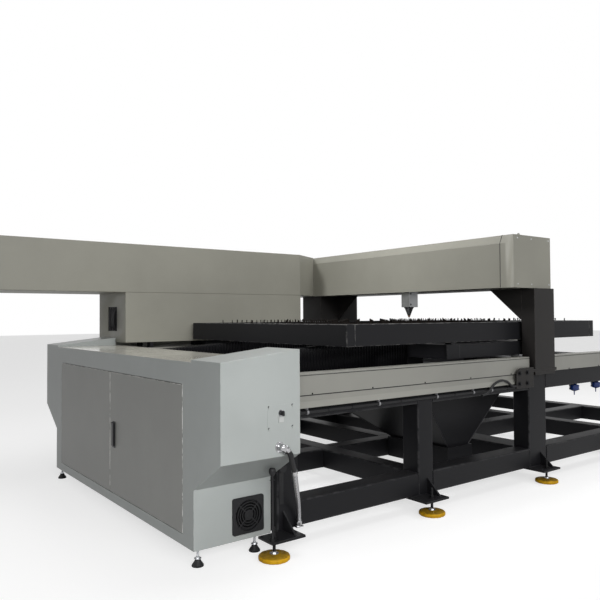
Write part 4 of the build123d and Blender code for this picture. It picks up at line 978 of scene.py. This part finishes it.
chrome = steel("bright_chrome", (0.46, 0.46, 0.47), 0.16, 80.0)
dressed("end_plates", 0.0003, cabinet_coat)
dressed("key_switch", 0.0, chrome)
dressed("key", 0.0005, black_block, "key")
plate_face = -1.2645
plate_screws = bmesh.new()
for x in (-1.868, -1.7395):
    for z in (0.6255, 0.7205):
        rod(plate_screws, (x, plate_face, z), (x, -1.2672, z), 0.0056, 12, 0.75)
piece("plate_screws", plate_screws, black_steel, "machine")
key_plate = bmesh.new()
slab(key_plate, (-1.803, -1.2698, 0.6605), (0.026, 0.0012, 0.023), 0.0005)
pale_plastic = moulded("pale_plastic", (0.48, 0.49, 0.48), 0.4, 0.00005)
piece("key_plate", key_plate, pale_plastic, "machine")


# Conduit and its fittings
# Chromed elbow on the cabinet's end and a flexible conduit down to the bed: black
# rubber at first, then steel braid.

conduit_corners = [
    (-1.785, -1.290, 0.525), (-1.766, -1.288, 0.503), (-1.750, -1.273, 0.470),
    (-1.716, -1.247, 0.412), (-1.678, -1.207, 0.335), (-1.630, -1.157, 0.245),
    (-1.586, -1.102, 0.170), (-1.580, -1.092, 0.122),
]
rubber_hose = bmesh.new()
hose(rubber_hose, conduit_corners[:4], 0.0125, 0.93, 0.006, 18)
rubber_hose = piece("conduit_rubber", rubber_hose, jacket, "machine", 60.0)
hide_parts("conduit")

braid, braid_shader, place = surface("steel_braid", 0.36, 1.0)
strands = []
for side in (-1, 1):
    leaning = place.node("ShaderNodeMapping", None,
                         {"Vector": place, "Scale": (1.0, 1.0, side * 0.6)})
    strands.append(place.node("ShaderNodeTexWave", {"bands_direction": "DIAGONAL"},
                              {"Vector": leaning, "Scale": 95.0}))
weave = place.maths("MAXIMUM", strands[0], strands[1])
between(weave, (0.08, 0.08, 0.085), (0.46, 0.46, 0.47)).join(braid_shader, "Base Color")
(0.50 - weave * 0.18).join(braid_shader, "Roughness")
raised(place, weave, 0.0005).join(braid_shader, "Normal")
braided = bmesh.new()
hose(braided, conduit_corners[3:], 0.0120, 1.0, 0.010, 20)
piece("conduit_braid", braided, braid, "machine", 60.0)

fittings = bmesh.new()
x, y, z = -1.811, -1.264, 0.540
flange = [(0.012, 0.0), (0.023, 0.0), (0.023, 0.004), (0.0215, 0.0055), (0.012, 0.0055),
          (0.012, 0.0)]
turned(fittings, flange, (x, y, z), "-Y", 32)
rod(fittings, (x, y - 0.0055, z), (x, y - 0.013, z), 0.0205, 6)
rod(fittings, (x, y - 0.008, z), (x, y - 0.026, z), 0.0160, 28)
bend, outlet = Vector((x, y - 0.026, z)), Vector((0.868, 0.0, -0.496))
bmesh.ops.create_uvsphere(fittings, u_segments=28, v_segments=14, radius=0.0160,
                          matrix=Matrix.Translation(bend))
rod(fittings, bend, bend + outlet * 0.028, 0.0150, 28)
rod(fittings, bend + outlet * 0.018, bend + outlet * 0.027, 0.0185, 6)
rod(fittings, bend + outlet * 0.027, bend + outlet * 0.037, 0.0135, 28, 0.9)
join, after = Vector(conduit_corners[3]), Vector(conduit_corners[4])
along = (after - join).normalized()
rod(fittings, join - along * 0.010, join + along * 0.012, 0.0138, 24)
x, y = conduit_corners[-1][:2]
rod(fittings, (x, y, 0.100), (x, y, 0.124), 0.0165, 6)
rod(fittings, (x, y, 0.124), (x, y, 0.138), 0.0145, 24, 0.92)
slab(fittings, (x, -1.0895, 0.102), (0.040, 0.037, 0.006), 0.001)
fittings = piece("fittings_turned", fittings, chrome, "machine", 40.0)
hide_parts("conduit_fittings")


# Bumper
# Round rubber bumper on a flat steel strip screwed to the bed's corner post, and
# beside it a dark rod with nuts and a rubber buffer under the cabinet's shoulder.

dressed("bumper", 0.0, rubber_black)
prop = bmesh.new()
buffer_shape = [(0.0, 0.390), (0.0085, 0.390), (0.0095, 0.394), (0.0140, 0.400),
                (0.0165, 0.409), (0.0160, 0.418), (0.0125, 0.4255), (0.0, 0.4275)]
x, y = -1.787, -1.172
turned(prop, buffer_shape, (x, y, 0.0), steps=28)
rod(prop, (x, y, bed_bottom), (x, y, 0.392), 0.0050, 14)
bolted(prop, (x, y, bed_bottom), (0, 0, 1), 0.017, 0.009)
bolted(prop, (x, y, 0.370), (0, 0, 1), 0.013, 0.007)
piece("shoulder_buffer", prop, rubber_black, "machine")


# Carriage
# Welded box-section ring that rides on ball blocks, two on each guideway, with
# levelling spacers between it and the table.

dressed("carriage_frame", 0.003, charcoal, "table")
dressed("guide_blocks", 0.001, black_steel, "table")


# Worktable
# Box-section frame, its broken edges painted pale as wear and as a painted
# highlight, with upright steel strips across it whose spikes carry the board. Old
# cuts have browned the spikes and left drops of slag on them.

spike_steel = enamel("browned_steel", (0.010, 0.008, 0.007), (0.04, 0.032, 0.027),
                     (0.014, 0.011, 0.009), 0.6, gloss=0.06)
# Pale edges: rubbed wear and a painted highlight along the frame's edges.
table_coat_wear_and_highlight = enamel("table_enamel_wear_and_highlight", (0.011, 0.011, 0.0125), (0.13, 0.128, 0.125),
                    (0.024, 0.023, 0.022), 0.44, 0.9, gloss=0.12)
dressed("table_frame", 0.003, table_coat_wear_and_highlight, "table")
dressed("support_strips", 0.0003, spike_steel, "table")
first_spike, strip_pitch, spike_pitch = (-0.9855, -0.864), 0.1273, 0.1378
drops = bmesh.new()
for i in range(18):
    for j in range(12):
        x, y = first_spike[0] + i * strip_pitch, first_spike[1] + j * spike_pitch
        size = 0.0052 + 0.0018 * sin(2.4 * i + 1.7 * j)
        tall = size * (1.3 + 0.3 * sin(i + 2.9 * j))
        shape = Matrix.Diagonal((size * 0.7, size, tall, 1.0))
        place = Matrix.Translation((x, y + 0.001 * sin(3.1 * j + i), 1.0875)) @ shape
        bmesh.ops.create_uvsphere(drops, u_segments=7, v_segments=5, radius=1.0,
                                  matrix=place)
piece("spike_slag", drops, spike_steel, "table", 60.0)


# Table drive
# Fixed ground screw between two clamp blocks, and the hollow-shaft motor under
# the carriage that turns its nut.

dressed("ball_screw", 0.001, rail_steel)
dressed("nut_motor", 0.001, black_block, "table")
dressed("drive_nut", 0.0, rail_steel, "drive_nut")
